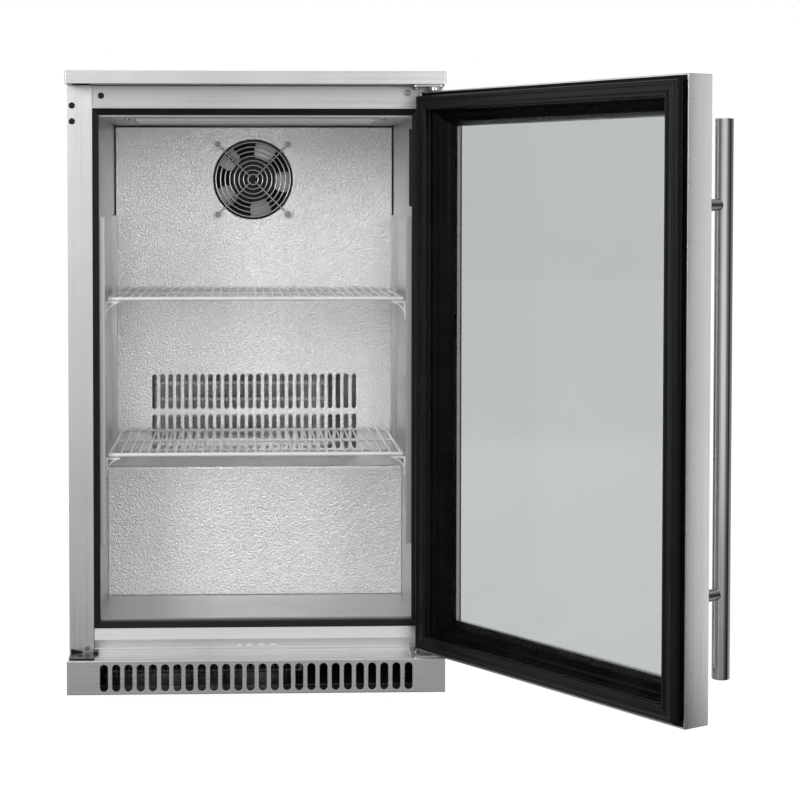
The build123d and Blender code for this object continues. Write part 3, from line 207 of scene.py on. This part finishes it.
def stucco(name, tone, rough):
    """Embossed aluminium sheet: small wandering ridges over the modelled relief, with a painted highlight
    on their tops and painted shade between them.
    """
    paint = Paint(name, Metallic=1.0)
    ridges = paint.noise(430.0, 1.5, distortion=0.8, roughness=0.5)
    grain = paint.noise(1400.0, 2.0)
    cloud = paint.noise(7.0, 3.0)
    # Painted highlight and painted shade: the colour is lighter on the ridge tops and darker in the
    # hollows, following the relief.
    fine = paint.ramp(ridges, ((0.36, grey(tone * 0.86)), (0.62, grey(tone))))
    patch = paint.ramp(cloud, ((0.3, grey(0.95)), (0.7, grey(1.0))))
    paint.colour(paint.multiplied(fine, patch))
    paint.rough(paint.spread(cloud, rough - 0.03, rough + 0.05))
    relief = paint.math("ADD", ridges, paint.math("MULTIPLY", grain, 0.12))
    paint.bump(relief, 1.12 * MM, 1.0)
    return paint.material


def plain_metal(name, tone, rough, spots=120.0, edge=0.0, metal=1.0, relief=0.03 * MM):
    """Unbrushed metal such as zinc plate, mill aluminium or copper: cloudy tone, mottled gloss."""
    paint = Paint(name, Metallic=metal)
    cloud = paint.noise(spots, 4.0, roughness=0.6)
    dark = [value * 0.86 for value in tone]
    paint.colour(paint.ramp(cloud, ((0.30, dark), (0.70, tone))))
    paint.rough(paint.spread(cloud, rough - 0.05, rough + 0.08))
    paint.bump(paint.noise(spots * 6, 3.0), relief, 0.5, edge)
    return paint.material


def moulded(
    name, tone, rough, grain=1500.0, relief=0.05 * MM, edge=0.4 * MM, dust=0.15, gloss=0.5, **sockets
):
    """Moulded plastic or rubber: a fine skin texture, slightly uneven tone and gloss."""
    paint = Paint(name, Specular_IOR_Level=gloss, **sockets)
    skin = paint.noise(grain, 3.0)
    cloud = paint.noise(14.0, 4.0, roughness=0.6)
    light = [value * (1 + dust) + 0.004 for value in tone]
    paint.colour(paint.ramp(cloud, ((0.35, tone), (0.75, light))))
    paint.rough(paint.spread(cloud, rough - 0.04, rough + 0.07))
    paint.bump(skin, relief, 0.6, edge)
    return paint.material


def glass_paint(name, tone):
    """Clear float glass with a faint green-grey body, its tone very slightly uneven."""
    paint = Paint(name, Transmission_Weight=1.0, IOR=1.12, Roughness=0.0, Specular_IOR_Level=0.04)
    cloud = paint.noise(3.0, 2.0)
    darker = [value * 0.985 for value in tone]
    paint.colour(paint.ramp(cloud, ((0.3, darker), (0.7, tone))))
    return paint.material


def make_materials():
    """Every finish of the object, by the name it is used under."""
    finish = {
        "steel_x": brushed("stainless_x", "x", tone=0.68),
        "steel_z": brushed("stainless_z", "z", tone=0.69),
        "worktop": brushed("stainless_worktop", "x", tone=0.59),
        # The top rail's steel is a darker copy of the same stainless steel: painted shade under the
        # worktop's overhang.
        "rail": brushed("stainless_rail_painted_shade", "x", tone=0.50),
        # The sill's steel is a lighter copy of the same stainless steel: a painted highlight standing in
        # for a lamp's reflection.
        "sill": brushed("stainless_sill_painted_highlight", "x", tone=0.76),
        "door_x": brushed("door_steel_x", "x", tone=0.60, rough=0.27),
        "door_z": brushed("door_steel_z", "z", tone=0.60, rough=0.27),
        "liner_z": brushed("liner_z", "z", tone=0.60, rough=0.34, streak=0.05),
        "liner_x": brushed("liner_x", "x", tone=0.55, rough=0.34, streak=0.05),
        "liner_low": brushed("liner_low", "x", tone=0.57, rough=0.40, streak=0.05),
        "polished": brushed("polished_bar", "z", tone=0.64, rough=0.12, streak=0.05, edge=0.0),
        "emboss": stucco("embossed_aluminium", 0.95, 0.34),
        "galvanised": plain_metal("galvanised_sheet", grey(0.62), 0.40, spots=24.0, relief=0.01 * MM),
        "zinc": plain_metal("zinc_plate", grey(0.50), 0.30, spots=90.0, edge=0.4 * MM),
        "screw": plain_metal("screw_steel", grey(0.34), 0.26, spots=300.0, edge=0.3 * MM),
        "bare": plain_metal("bare_aluminium", grey(0.46), 0.30, spots=50.0),
        "fins": plain_metal("fin_aluminium", grey(0.62), 0.38, spots=200.0),
        "coil": plain_metal("coil_aluminium", grey(0.72), 0.60, spots=300.0, metal=0.3),
        "dark_fins": plain_metal("dark_fin_aluminium", grey(0.16), 0.42, spots=200.0),
        "dark_zinc": plain_metal("dark_galvanised_steel", grey(0.14), 0.45, spots=40.0),
        "guard": plain_metal("guard_chrome", grey(0.66), 0.16, spots=300.0),
        "copper": plain_metal("copper_tube", (0.72, 0.36, 0.22), 0.28, spots=80.0),
        "white_coat": moulded("white_coat", grey(0.88), 0.32, edge=0.0, dust=0.02, Coat_Weight=0.3),
        "diffuser": moulded("diffuser", grey(0.50), 0.45, dust=0.01, Subsurface_Weight=0.15),
        "black_plastic": moulded("black_plastic", grey(0.008), 0.30, grain=900.0, gloss=0.25),
        "trim": moulded("door_trim_black", grey(0.003), 0.26, grain=600.0, relief=0.02 * MM, gloss=0.04),
        "throat": moulded("throat_black", grey(0.005), 0.36, grain=900.0, gloss=0.18),
        "rubber": moulded("black_rubber", grey(0.012), 0.62, grain=700.0, gloss=0.25),
        "gasket": moulded("gasket_rubber", grey(0.005), 0.34, grain=800.0, relief=0.03 * MM, gloss=0.15),
        "black_paint": moulded("black_paint", grey(0.012), 0.30, grain=500.0, gloss=0.3),
        "glass": glass_paint("pane_glass", (0.706, 0.728, 0.712)),
        "foam": moulded("insulation_foam", (0.62, 0.56, 0.42), 0.80, grain=420.0, relief=0.3 * MM),
        "lamp_mark": moulded("display_mark", grey(0.86), 0.30, dust=0.0),
    }
    return finish


finish = make_materials()

NODE_FINISH = {
    "worktop": "worktop", "side_panel_left": "steel_z", "side_panel_right": "steel_z",
    "rear_panel": "galvanised", "rear_grille": "galvanised", "base_pan": "dark_zinc",
    "insulation_foam": "foam",
    "liner_left": "liner_z", "liner_right": "liner_z", "liner_ceiling_rear": "liner_x",
    "liner_floor": "liner_low", "hump_cover": "emboss", "top_rail": "rail", "sill_panel": "sill",
    "breaker_strips": "throat", "kick_grille": "steel_x", "evaporator_cover": "emboss",
    "fan_housing": "black_plastic", "fan_motor": "black_plastic", "evaporator_fan": "black_plastic",
    "fan_guard": "guard", "fan_guard_screws": "screw", "evaporator": "fins",
    "shelf_pilasters": "liner_z",
    "shelf_clips": "white_coat", "lower_shelf": "white_coat", "upper_shelf": "white_coat",
    "ceiling_light_body": "bare", "ceiling_light_lens": "diffuser", "side_lamp": "black_plastic",
    "controller": "lamp_mark", "compressor": "black_paint", "compressor_mounts": "rubber",
    "condenser": "dark_fins", "condenser_fan_motor": "black_plastic", "condenser_fan": "black_plastic",
    "condenser_fan_shroud": "dark_zinc", "drip_tray": "black_plastic", "refrigerant_lines": "copper",
    "power_inlet": "black_plastic", "foot_front_left": "rubber", "foot_rear_left": "rubber",
    "foot_front_right": "rubber", "foot_rear_right": "rubber", "top_hinge_bracket": "zinc",
    "bottom_hinge_bracket": "zinc", "hinge_pins": "zinc", "hinge_screws": "screw",
    "hole_plugs": "black_plastic", "blank_hinge_plate": "black_plastic", "door_frame": "door_z",
    "door_foam": "foam", "door_inner_frame": "trim", "door_gasket": "gasket", "outer_pane": "glass",
    "inner_pane": "glass", "glass_spacer": "bare", "hinge_bushes": "black_plastic",
    "handle_bar": "polished", "handle_posts": "polished",
}


def dress_nodes():
    """Give each carried-over node its finish."""
    for name, node in frame["nodes"].items():
        for slot in node.material_slots:
            slot.material = finish[NODE_FINISH[name]]


dress_nodes()

# ------------------------------------------------------------------ mesh helpers


def piece(name, mesh, material, body, matrix=None, smooth=None):
    """Make one visible piece that rides on a body; edges flatter than smooth degrees look round."""
    made = bpy.data.objects.new(name, mesh)
    bpy.context.scene.collection.objects.link(made)
    made.data.materials.append(finish[material])
    if matrix is not None:
        made.matrix_world = matrix
    if smooth is not None:
        for face in mesh.polygons:
            face.use_smooth = True
        mesh.set_sharp_from_angle(angle=math.radians(smooth))
    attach(made, body)
    return made


def mesh_from(name, vertices, faces):
    mesh = bpy.data.meshes.new(name)
    mesh.from_pydata(vertices, [], faces)
    mesh.validate()
    mesh.update()
    return mesh


def corner_arc(before, corner, after, radius, limit, steps):
    """Points of a corner rounded by about the given radius, within a limited share of its two sides."""
    reach = min(radius, (before - corner).length * limit, (after - corner).length * limit)
    start = corner + (before - corner).normalized() * reach
    end = corner + (after - corner).normalized() * reach
    shares = [step / steps for step in range(steps + 1)]
    return [start * (1 - t) ** 2 + corner * 2 * t * (1 - t) + end * t**2 for t in shares]


def round_corners(points, radius):
    """A closed outline with all its corners rounded."""
    rounded = []
    for index, corner in enumerate(points):
        after = points[(index + 1) % len(points)]
        rounded += corner_arc(points[index - 1], corner, after, radius, 0.45, 3)
    return rounded


def bent_path(points, radius, steps):
    """An open path with its inner corners rounded."""
    points = [Vector(point) for point in points]
    path = [points[0]]
    for before, corner, after in zip(points, points[1:], points[2:]):
        path += corner_arc(before, corner, after, radius, 0.49, steps)
    return [*path, points[-1]]


def mitred_bars(name, span_x, span_z, outline, materials, body, matrix):
    """Four mitred bars round a rectangle; the outline's points are (inset, depth), and it is closed."""
    corners = ((0, 0), (1, 0), (1, 1), (0, 1))
    names = ("bottom", "hinge_side", "top", "free_side")
    middle = Vector(((span_x[0] + span_x[1]) / 2, (span_z[0] + span_z[1]) / 2))
    made = []
    for index, side in enumerate(names):
        vertices = []
        for corner in (corners[index], corners[(index + 1) % 4]):
            place = Vector((span_x[corner[0]], span_z[corner[1]]))
            inward = Vector((math.copysign(1, middle.x - place.x), math.copysign(1, middle.y - place.y)))
            for inset, depth in outline:
                spot = place + inward * inset
                vertices.append((spot.x, depth, spot.y))
        count = len(outline)
        faces = [(i, (i + 1) % count, count + (i + 1) % count, count + i) for i in range(count)]
        faces += [tuple(range(count)), tuple(range(2 * count - 1, count - 1, -1))]
        mesh = mesh_from(f"{name}_{side}", vertices, faces)
        shape = bmesh.new()
        shape.from_mesh(mesh)
        bmesh.ops.recalc_face_normals(shape, faces=shape.faces)
        shape.to_mesh(mesh)
        shape.free()
        material = materials[index % 2]
        made.append(piece(f"{name}_{side}", mesh, material, body, matrix, smooth=35))
    return made


def wires(name, paths, material, body):
    """One curve piece of round wires; each path is (points, radius, closed)."""
    curve = bpy.data.curves.new(name, "CURVE")
    curve.dimensions = "3D"
    curve.bevel_depth = MM
    curve.bevel_resolution = 3
    curve.use_fill_caps = True
    for points, radius, closed in paths:
        spline = curve.splines.new("POLY")
        spline.points.add(len(points) - 1)
        for point, place in zip(spline.points, points):
            point.co = (*place, 1.0)
            point.radius = radius / MM
        spline.use_cyclic_u = closed
        spline.use_smooth = True
    made = bpy.data.objects.new(name, curve)
    bpy.context.scene.collection.objects.link(made)
    curve.materials.append(finish[material])
    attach(made, body)
    return made


# ------------------------------------------------------------------ embossed sheets

EMBOSS_PITCH = 1.45 * MM  # grid of the embossed sheets
EMBOSS_DEPTH = 0.085 * MM
EMBOSS_SCALE = 230.0  # noise cells per metre
SHEET = 1.0 * MM
noise.seed_set(1)  # noise_vector's offsets come from the clock unless a seed is set


def emboss(along, up):
    """Height of the stucco emboss: short wandering ridges a few millimetres apart."""
    spot = Vector((along, up, 0.0)) * EMBOSS_SCALE
    warp = noise.noise_vector(spot * 0.55) * 0.9
    ridge = noise.noise((spot + warp) * 1.25)
    swirl = noise.noise((spot + warp.yzx) * 2.1 + Vector((7.0, 3.0, 1.0)))
    return EMBOSS_DEPTH * (1.6 * ridge + 0.7 * swirl)


def embossed_sheet(name, width, height, place, normal, inside, replaced):
    """A sheet as a fine grid with real emboss; inside(x, s) is the signed distance to its openings."""
    columns = max(2, round(width / EMBOSS_PITCH))
    rows = max(2, round(height / EMBOSS_PITCH))
    across = [width * (i / columns - 0.5) for i in range(columns + 1)]
    spots = [[(x, height * j / rows) for x in across] for j in range(rows + 1)]
    used = {}
    vertices, faces = [], []
    kept = set()
    for j in range(rows):
        for i in range(columns):
            centre_x = (spots[j][i][0] + spots[j + 1][i + 1][0]) / 2
            centre_s = (spots[j][i][1] + spots[j + 1][i + 1][1]) / 2
            if inside is None or inside(centre_x, centre_s)[0] > 0:
                kept.add((j, i))
    for j, i in sorted(kept):
        ring = []
        for dj, di in ((0, 0), (0, 1), (1, 1), (1, 0)):
            key = (j + dj, i + di)
            if key not in used:
                x, s = spots[key[0]][key[1]]
                touching = ((key[0] - a, key[1] - b) for a in (0, 1) for b in (0, 1))
                on_rim = inside is not None and any(
                    cell not in kept and 0 <= cell[0] < rows and 0 <= cell[1] < columns for cell in touching
                )
                if on_rim:
                    gap, away = inside(x, s)
                    x, s = x - away[0] * gap, s - away[1] * gap
                lift = 0.0 if on_rim else emboss(x, s)
                used[key] = len(vertices)
                vertices.append(place(x, s) + normal(s) * lift)
            ring.append(used[key])
        faces.append(ring)
    mesh = mesh_from(name, vertices, faces)
    made = piece(name, mesh, "emboss", "cabinet", smooth=60)
    thick = made.modifiers.new("thickness", "SOLIDIFY")
    thick.thickness = SHEET
    thick.offset = -1.0
    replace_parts(made, replaced)
    return made


VENT_COUNT = 26
VENT_PITCH = 12.0 * MM
VENT_HALF = 3.15 * MM
VENT_ROWS = ((278.5 * MM, 330.0 * MM), (339.0 * MM, 390.5 * MM))
FAN_HOLE = 59.5 * MM


def cover_openings(x, s):
    """Signed distance to the fan hole or the nearest air slot, and the direction away from it."""
    z = COVER_LOW.z + s
    off = Vector((x - FAN[0], z - FAN[2]))
    best = off.length - FAN_HOLE, off.normalized()
    index = round(x / VENT_PITCH + (VENT_COUNT - 1) / 2)
    slot_x = (min(max(index, 0), VENT_COUNT - 1) - (VENT_COUNT - 1) / 2) * VENT_PITCH
    for low, high in VENT_ROWS:
        nearest = min(max(z, low + VENT_HALF), high - VENT_HALF)
        off = Vector((x - slot_x, z - nearest))
        gap = off.length - VENT_HALF
        if gap < best[0]:
            best = gap, off.normalized() if off.length > 1e-9 else Vector((1.0, 0.0))
    return best


def make_evaporator_cover():
    width = COVER_HIGH.x - COVER_LOW.x
    height = COVER_HIGH.z - COVER_LOW.z
    middle = (COVER_HIGH.x + COVER_LOW.x) / 2
    embossed_sheet(
        "evaporator_cover_sheet",
        width,
        height,
        lambda x, s: Vector((x + middle, COVER_LOW.y, COVER_LOW.z + s)),
        lambda s: Vector((0, -1, 0)),
        cover_openings,
        "evaporator_cover",
    )


def make_hump_cover():
    """The cover of the compressor hump: up the front, round a bend and back over the top."""
    rise = HUMP_HIGH.z - HUMP_LOW.z
    bend = 3.0 * MM
    arc = bend * math.pi / 2
    depth = HUMP_HIGH.y - HUMP_LOW.y
    front = rise - bend

    def turned(s):
        return min(max((s - front) / arc, 0.0), 1.0) * math.pi / 2

    def place(x, s):
        angle = turned(s)
        z = HUMP_LOW.z + min(s, front) + bend * math.sin(angle)
        y = HUMP_LOW.y + bend * (1 - math.cos(angle)) + max(s - front - arc, 0.0)
        return Vector((x, y, z))

    def normal(s):
        angle = turned(s)
        return Vector((0, -math.cos(angle), math.sin(angle)))

    width = HUMP_HIGH.x - HUMP_LOW.x
    embossed_sheet(
        "hump_cover_sheet", width, front + arc + depth - bend, place, normal, None, "hump_cover"
    )


make_evaporator_cover()
make_hump_cover()

# ------------------------------------------------------------------ evaporator coil

FIN_PITCH = 2.1 * MM
FIN_T = 0.45 * MM
FIN_BOX_FACES = ((0, 1, 3, 2), (4, 6, 7, 5), (0, 4, 5, 1), (2, 3, 7, 6), (1, 5, 7, 3), (0, 2, 6, 4))
FIRST_FIN = 6.2 * MM  # from the left end of the coil's box
LAST_FIN = 0.6 * MM  # from its right end
TUBE_ROWS = 4
TUBE_PITCH = 24.6 * MM
TUBE_LOW = 16.0 * MM
TUBE_INSET = 13.0 * MM  # from the coil's front and back
TUBE_END = 4.5 * MM
TUBE_R = 4.2 * MM


def make_evaporator():
    """The coil seen through the air slots: closely set thin fins on eight tubes."""
    low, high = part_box("evaporator")
    first, last = low.x + FIRST_FIN, high.x - LAST_FIN
    count = round((last - first) / FIN_PITCH)
    vertices, faces = [], []
    for index in range(count + 1):
        x = first + (last - first) * index / count
        start = len(vertices)
        for dx in (-FIN_T / 2, FIN_T / 2):
            for y in (low.y, high.y):
                vertices += [(x + dx, y, low.z), (x + dx, y, high.z)]
        for face in FIN_BOX_FACES:
            faces.append([start + corner for corner in face])
    mesh = mesh_from("evaporator_fins", vertices, faces)
    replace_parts(piece("evaporator_fins", mesh, "coil", "cabinet"), "evaporator")
    runs = []
    for row in range(TUBE_ROWS):
        z = low.z + TUBE_LOW + TUBE_PITCH * row
        for y in (low.y + TUBE_INSET, high.y - TUBE_INSET):
            ends = [Vector((low.x + TUBE_END, y, z)), Vector((high.x - TUBE_END, y, z))]
            runs.append((ends, TUBE_R, False))
    # The tubes take the dark fin finish as painted shade: darkened so that they read as the shade among the
    # fins, not as bright metal.
    tubes = wires("evaporator_tubes", runs, "dark_fins", "cabinet")
    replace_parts(tubes, "evaporator")


make_evaporator()

# ------------------------------------------------------------------ shelves

SHELF_WIRES = 31
SHELF_PITCH = 12.1 * MM
WIRE_R = 1.5 * MM
RIM_R = 2.1 * MM
ROD_R = 2.75 * MM
MID_WIRE = -12.0 * MM
RIM_CORNER = 9.0 * MM


def make_shelf(name):
    """A white coated wire shelf: thick front rod, rim, mid wire, and long wires that end on the rod."""
    low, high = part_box(name)
    top_z = high.z - WIRE_R
    rim_z = top_z - RIM_R - WIRE_R + 0.6 * MM
    rod_z = low.z + ROD_R
    front = low.y + ROD_R
    back = high.y - RIM_R
    side = high.x - RIM_R
    sides = [(-side, front, rod_z), (-side, back, rim_z), (side, back, rim_z), (side, front, rod_z)]
    rod_end = side + RIM_R / 2
    rod = [Vector((-rod_end, front, rod_z)), Vector((rod_end, front, rod_z))]
    middle = [Vector((-side, MID_WIRE, rim_z)), Vector((side, MID_WIRE, rim_z))]
    paths = [(bent_path(sides, RIM_CORNER, 6), RIM_R, False), (rod, ROD_R, False)]
    paths.append((middle, RIM_R + 0.2 * MM, False))
    for index in range(SHELF_WIRES):
        x = (index - (SHELF_WIRES - 1) / 2) * SHELF_PITCH
        bend = (x, front + 1.5 * MM, top_z)
        run = [(x, back + 0.8 * MM, top_z), bend, (x, front - 2.0 * MM, rod_z + 1.2 * MM)]
        paths.append((bent_path(run, 2.0 * MM, 3), WIRE_R, False))
    shelf = wires(f"{name}_wires", paths, "white_coat", name)
    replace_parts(shelf, name)


make_shelf("lower_shelf")
make_shelf("upper_shelf")

# ------------------------------------------------------------------ door

# The closed door's edges, measured from the hinge axis and from the cabinet's underside
LEAF_X = (-484.0 * MM, 12.6 * MM)
LEAF_Z = (51.0 * MM, 795.5 * MM)

# Profiles of the door's bars in millimetres: how far in from the door's edge, and how far back
SKIN = [(0, -23.5), (44, -23.5), (44, -22.5), (1, -22.5), (1, 13), (1.8, 13), (1.8, 14), (0, 14)]
TRIM = [(1.05, 9), (25, 9), (36, -2), (38, -9.1), (44, -9.1), (40, 0.5), (33, 7.4), (30.5, 8.4),
        (27, 13.4), (22, 14), (4, 12.9), (1.05, 12.9)]
SEAL = [(7.6, 13.6), (7.6, 16.4), (9.4, 17.6), (6.6, 19.4), (6.3, 24.6), (7.8, 27.3), (10.4, 27.5),
        (13.2, 26.6), (18.6, 26.6), (21.4, 27.5), (24.4, 27.2), (26, 24.8), (25.8, 20.6), (22.6, 18.6),
        (24.4, 17.0), (24.4, 13.6)]


def door_bars(name, points, radius, materials, replaced):
    """Four mitred bars of one profile, with its corners rounded by a radius in millimetres."""
    profile = round_corners([Vector((inset * MM, depth * MM)) for inset, depth in points], radius * MM)
    bars = mitred_bars(name, LEAF_X, LEAF_Z, profile, materials, "door", door_matrix)
    for bar in bars:
        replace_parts(bar, replaced)


door_bars("door_skin", SKIN, 0.45, ("door_x", "door_z"), "door_frame")
door_bars("door_trim", TRIM, 0.5, ("trim", "trim"), "door_inner_frame")
door_bars("door_seal", SEAL, 0.9, ("gasket", "gasket"), "door_gasket")

# ------------------------------------------------------------------ light, floor and camera


# What the steel reflects from the front, as the product of two tones: one by the angle from straight in
# front, towards the right and in degrees, and one by how far up the reflection looks, from -1 to 1
ROUND_TONES = ((-180, 0.0), (-62, 0.0), (-50, 0.10), (-37, 0.70), (-28, 1.0), (14, 1.0), (24, 0.60),
               (34, 0.30), (58, 0.12), (70, 0.0), (180, 0.0))
RISE_TONES = ((-1.0, 0.10), (-0.25, 0.24), (-0.17, 0.42), (-0.12, 0.92), (-0.07, 1.0), (0.0, 0.88),
              (0.05, 0.84), (0.4, 1.0), (1.0, 0.75))
# What it reflects from the sides and the back: how much of it by the angle, and its tone by the height
ROOM_SHARES = ((-180, 1.0), (-108, 1.0), (-84, 0.40), (-74, 0.0), (74, 0.0), (84, 0.40),
               (108, 1.0), (180, 1.0))
ROOM_TONES = ((-1.0, 0.50), (-0.3, 0.60), (-0.10, 0.34), (0.05, 0.26), (0.5, 0.50), (1.0, 0.75))


def make_world():
    """White background; what the steel reflects is a bright front, a dark gap and an even grey room."""
    world = bpy.data.worlds.new("studio")
    bpy.context.scene.world = world
    world.use_nodes = True
    tree = world.node_tree
    tree.nodes.clear()
    link = tree.links.new

    def math_node(operation, first, second):
        node = tree.nodes.new("ShaderNodeMath")
        node.operation = operation
        for value, socket in zip((first, second), node.inputs):
            if hasattr(value, "links"):
                link(value, socket)
            else:
                socket.default_value = value
        return node.outputs["Value"]

    def vector_node(operation, first, second):
        node = tree.nodes.new("ShaderNodeVectorMath")
        node.operation = operation
        link(first, node.inputs[0])
        link(second, node.inputs[1])
        return node.outputs["Vector"]

    def tone_ramp(value, low, high, stops):
        ramp = tree.nodes.new("ShaderNodeValToRGB")
        elements = ramp.color_ramp.elements
        while len(elements) < len(stops):
            elements.new(0.5)
        for element, (place, tone) in zip(elements, stops):
            element.position = (place - low) / (high - low)
            element.color = (*grey(tone), 1.0)
        link(math_node("DIVIDE", math_node("SUBTRACT", value, low), high - low), ramp.inputs["Fac"])
        return ramp.outputs["Color"]

    output = tree.nodes.new("ShaderNodeOutputWorld")
    room = tree.nodes.new("ShaderNodeBackground")
    white = tree.nodes.new("ShaderNodeBackground")
    white.inputs["Color"].default_value = (1, 1, 1, 1)
    path = tree.nodes.new("ShaderNodeLightPath")
    blend = tree.nodes.new("ShaderNodeMixShader")
    seen = math_node("MAXIMUM", path.outputs["Is Camera Ray"], path.outputs["Is Transmission Ray"])
    link(seen, blend.inputs["Fac"])
    link(room.outputs["Background"], blend.inputs[1])
    link(white.outputs["Background"], blend.inputs[2])
    link(blend.outputs["Shader"], output.inputs["Surface"])
    direction = tree.nodes.new("ShaderNodeTexCoord")
    parts = tree.nodes.new("ShaderNodeSeparateXYZ")
    link(direction.outputs["Generated"], parts.inputs["Vector"])
    turn = math_node("ARCTAN2", parts.outputs["X"], math_node("MULTIPLY", parts.outputs["Y"], -1.0))
    angle = math_node("MULTIPLY", turn, math.degrees(1.0))
    ahead = vector_node(
        "MULTIPLY",
        tone_ramp(angle, -180.0, 180.0, ROUND_TONES),
        tone_ramp(parts.outputs["Z"], -1.0, 1.0, RISE_TONES),
    )
    beside = vector_node(
        "MULTIPLY",
        tone_ramp(angle, -180.0, 180.0, ROOM_SHARES),
        tone_ramp(parts.outputs["Z"], -1.0, 1.0, ROOM_TONES),
    )
    link(vector_node("ADD", ahead, beside), room.inputs["Color"])


def area_light(name, place, aim, size, power):
    """A rectangular lamp of a size in metres and a power in watts, turned towards a point."""
    data = bpy.data.lights.new(name, "AREA")
    data.shape = "RECTANGLE"
    data.size, data.size_y = size
    data.energy = power
    lamp = bpy.data.objects.new(name, data)
    bpy.context.scene.collection.objects.link(lamp)
    lamp.location = place
    lamp.rotation_euler = (Vector(aim) - Vector(place)).to_track_quat("-Z", "Y").to_euler()
    return lamp


def make_floor():
    """A white floor, bright enough to merge with the background and not mirrored in the object."""
    size = 14.0
    corners = [(x, y, FLOOR_Z) for x, y in ((-size, -size), (size, -size), (size, size), (-size, size))]
    mesh = mesh_from("floor", corners, [(0, 1, 2, 3)])
    floor = bpy.data.objects.new("floor", mesh)
    bpy.context.scene.collection.objects.link(floor)
    paint = Paint("floor_white", Roughness=0.9)
    cloud = paint.noise(0.6, 2.0)
    paint.colour(paint.ramp(cloud, ((0.3, grey(0.050)), (0.7, grey(0.055)))))
    paint.shader.inputs["Emission Color"].default_value = (1, 1, 1, 1)
    paint.shader.inputs["Emission Strength"].default_value = 0.985
    mesh.materials.append(paint.material)
    floor.visible_glossy = False
    floor.visible_diffuse = False
    floor.visible_shadow = False


def make_camera():
    """The viewpoint: nearly level, 3 m in front of the object, framed with some lens shift."""
    data = bpy.data.cameras.new("camera")
    data.lens = 92.47
    data.sensor_width = 36.0
    data.shift_x = 0.10
    data.shift_y = -0.15
    camera = bpy.data.objects.new("camera", data)
    bpy.context.scene.collection.objects.link(camera)
    camera.location = (-0.0200, -2.9471, 0.6539)
    camera.rotation_euler = (math.radians(90 - 2.088), 0, math.radians(-2.204))
    bpy.context.scene.camera = camera


make_world()
make_floor()
make_camera()
area_light("top", (0.1, -0.6, 2.8), (0.1, 0, 0.4), (2.2, 1.6), 12)
behind_cover = COVER_LOW.y + 16 * MM
area_light("behind_fan", (FAN[0], behind_cover, FAN[2]), (FAN[0], 1.0, FAN[2]), (0.14, 0.14), 0.008)
area_light("behind_slots", (-0.02, behind_cover, 0.335), (-0.02, 1.0, 0.335), (0.26, 0.11), 0.30)
inside_lamps = [
    area_light("inside_top", (0, -0.16, 0.735), (0, 0.20, 0.60), (0.32, 0.04), 0.055),
    area_light("inside_middle", (0, -0.165, 0.46), (0, 0.10, 0.28), (0.34, 0.04), 0.06),
]
room_lamps = [
    area_light("key", (-2.0, -2.9, 1.5), (0, 0, 0.45), (1.2, 1.2), 40),
    area_light("fill", (1.7, -3.1, 1.1), (0, 0, 0.45), (1.0, 1.2), 19),
    area_light("right", (2.4, -0.75, 0.5), (0.25, -0.4, 0.35), (1.3, 1.8), 7.0),
    area_light("left", (-2.6, 0.3, 0.7), (0, 0.0, 0.4), (1.6, 1.6), 14),
    area_light("back", (0.4, 2.8, 0.9), (0, 0.2, 0.4), (2.0, 1.4), 16),
]


def leave_out(collection_name, things, lamps):
    """Keep some objects out of some lamps' light, so that these don't show in them as bright spots."""
    left_out = bpy.data.collections.new(collection_name)
    for thing in things:
        left_out.objects.link(thing)
    for member in left_out.collection_objects:
        member.light_linking.link_state = "EXCLUDE"
    for lamp in lamps:
        lamp.light_linking.receiver_collection = left_out


mirrors = ("handle_bar", "handle_posts", "outer_pane", "inner_pane", "liner_floor")
leave_out("mirrors_of_the_room", [frame["nodes"][name] for name in mirrors], room_lamps)
chrome = [frame["nodes"][name] for name in ("fan_guard", "fan_guard_screws")]
leave_out("chrome_apart", [*chrome, bpy.data.objects["hump_cover_sheet"]], inside_lamps)
bpy.context.scene.view_settings.view_transform = "Standard"

bpy.context.view_layer.update()
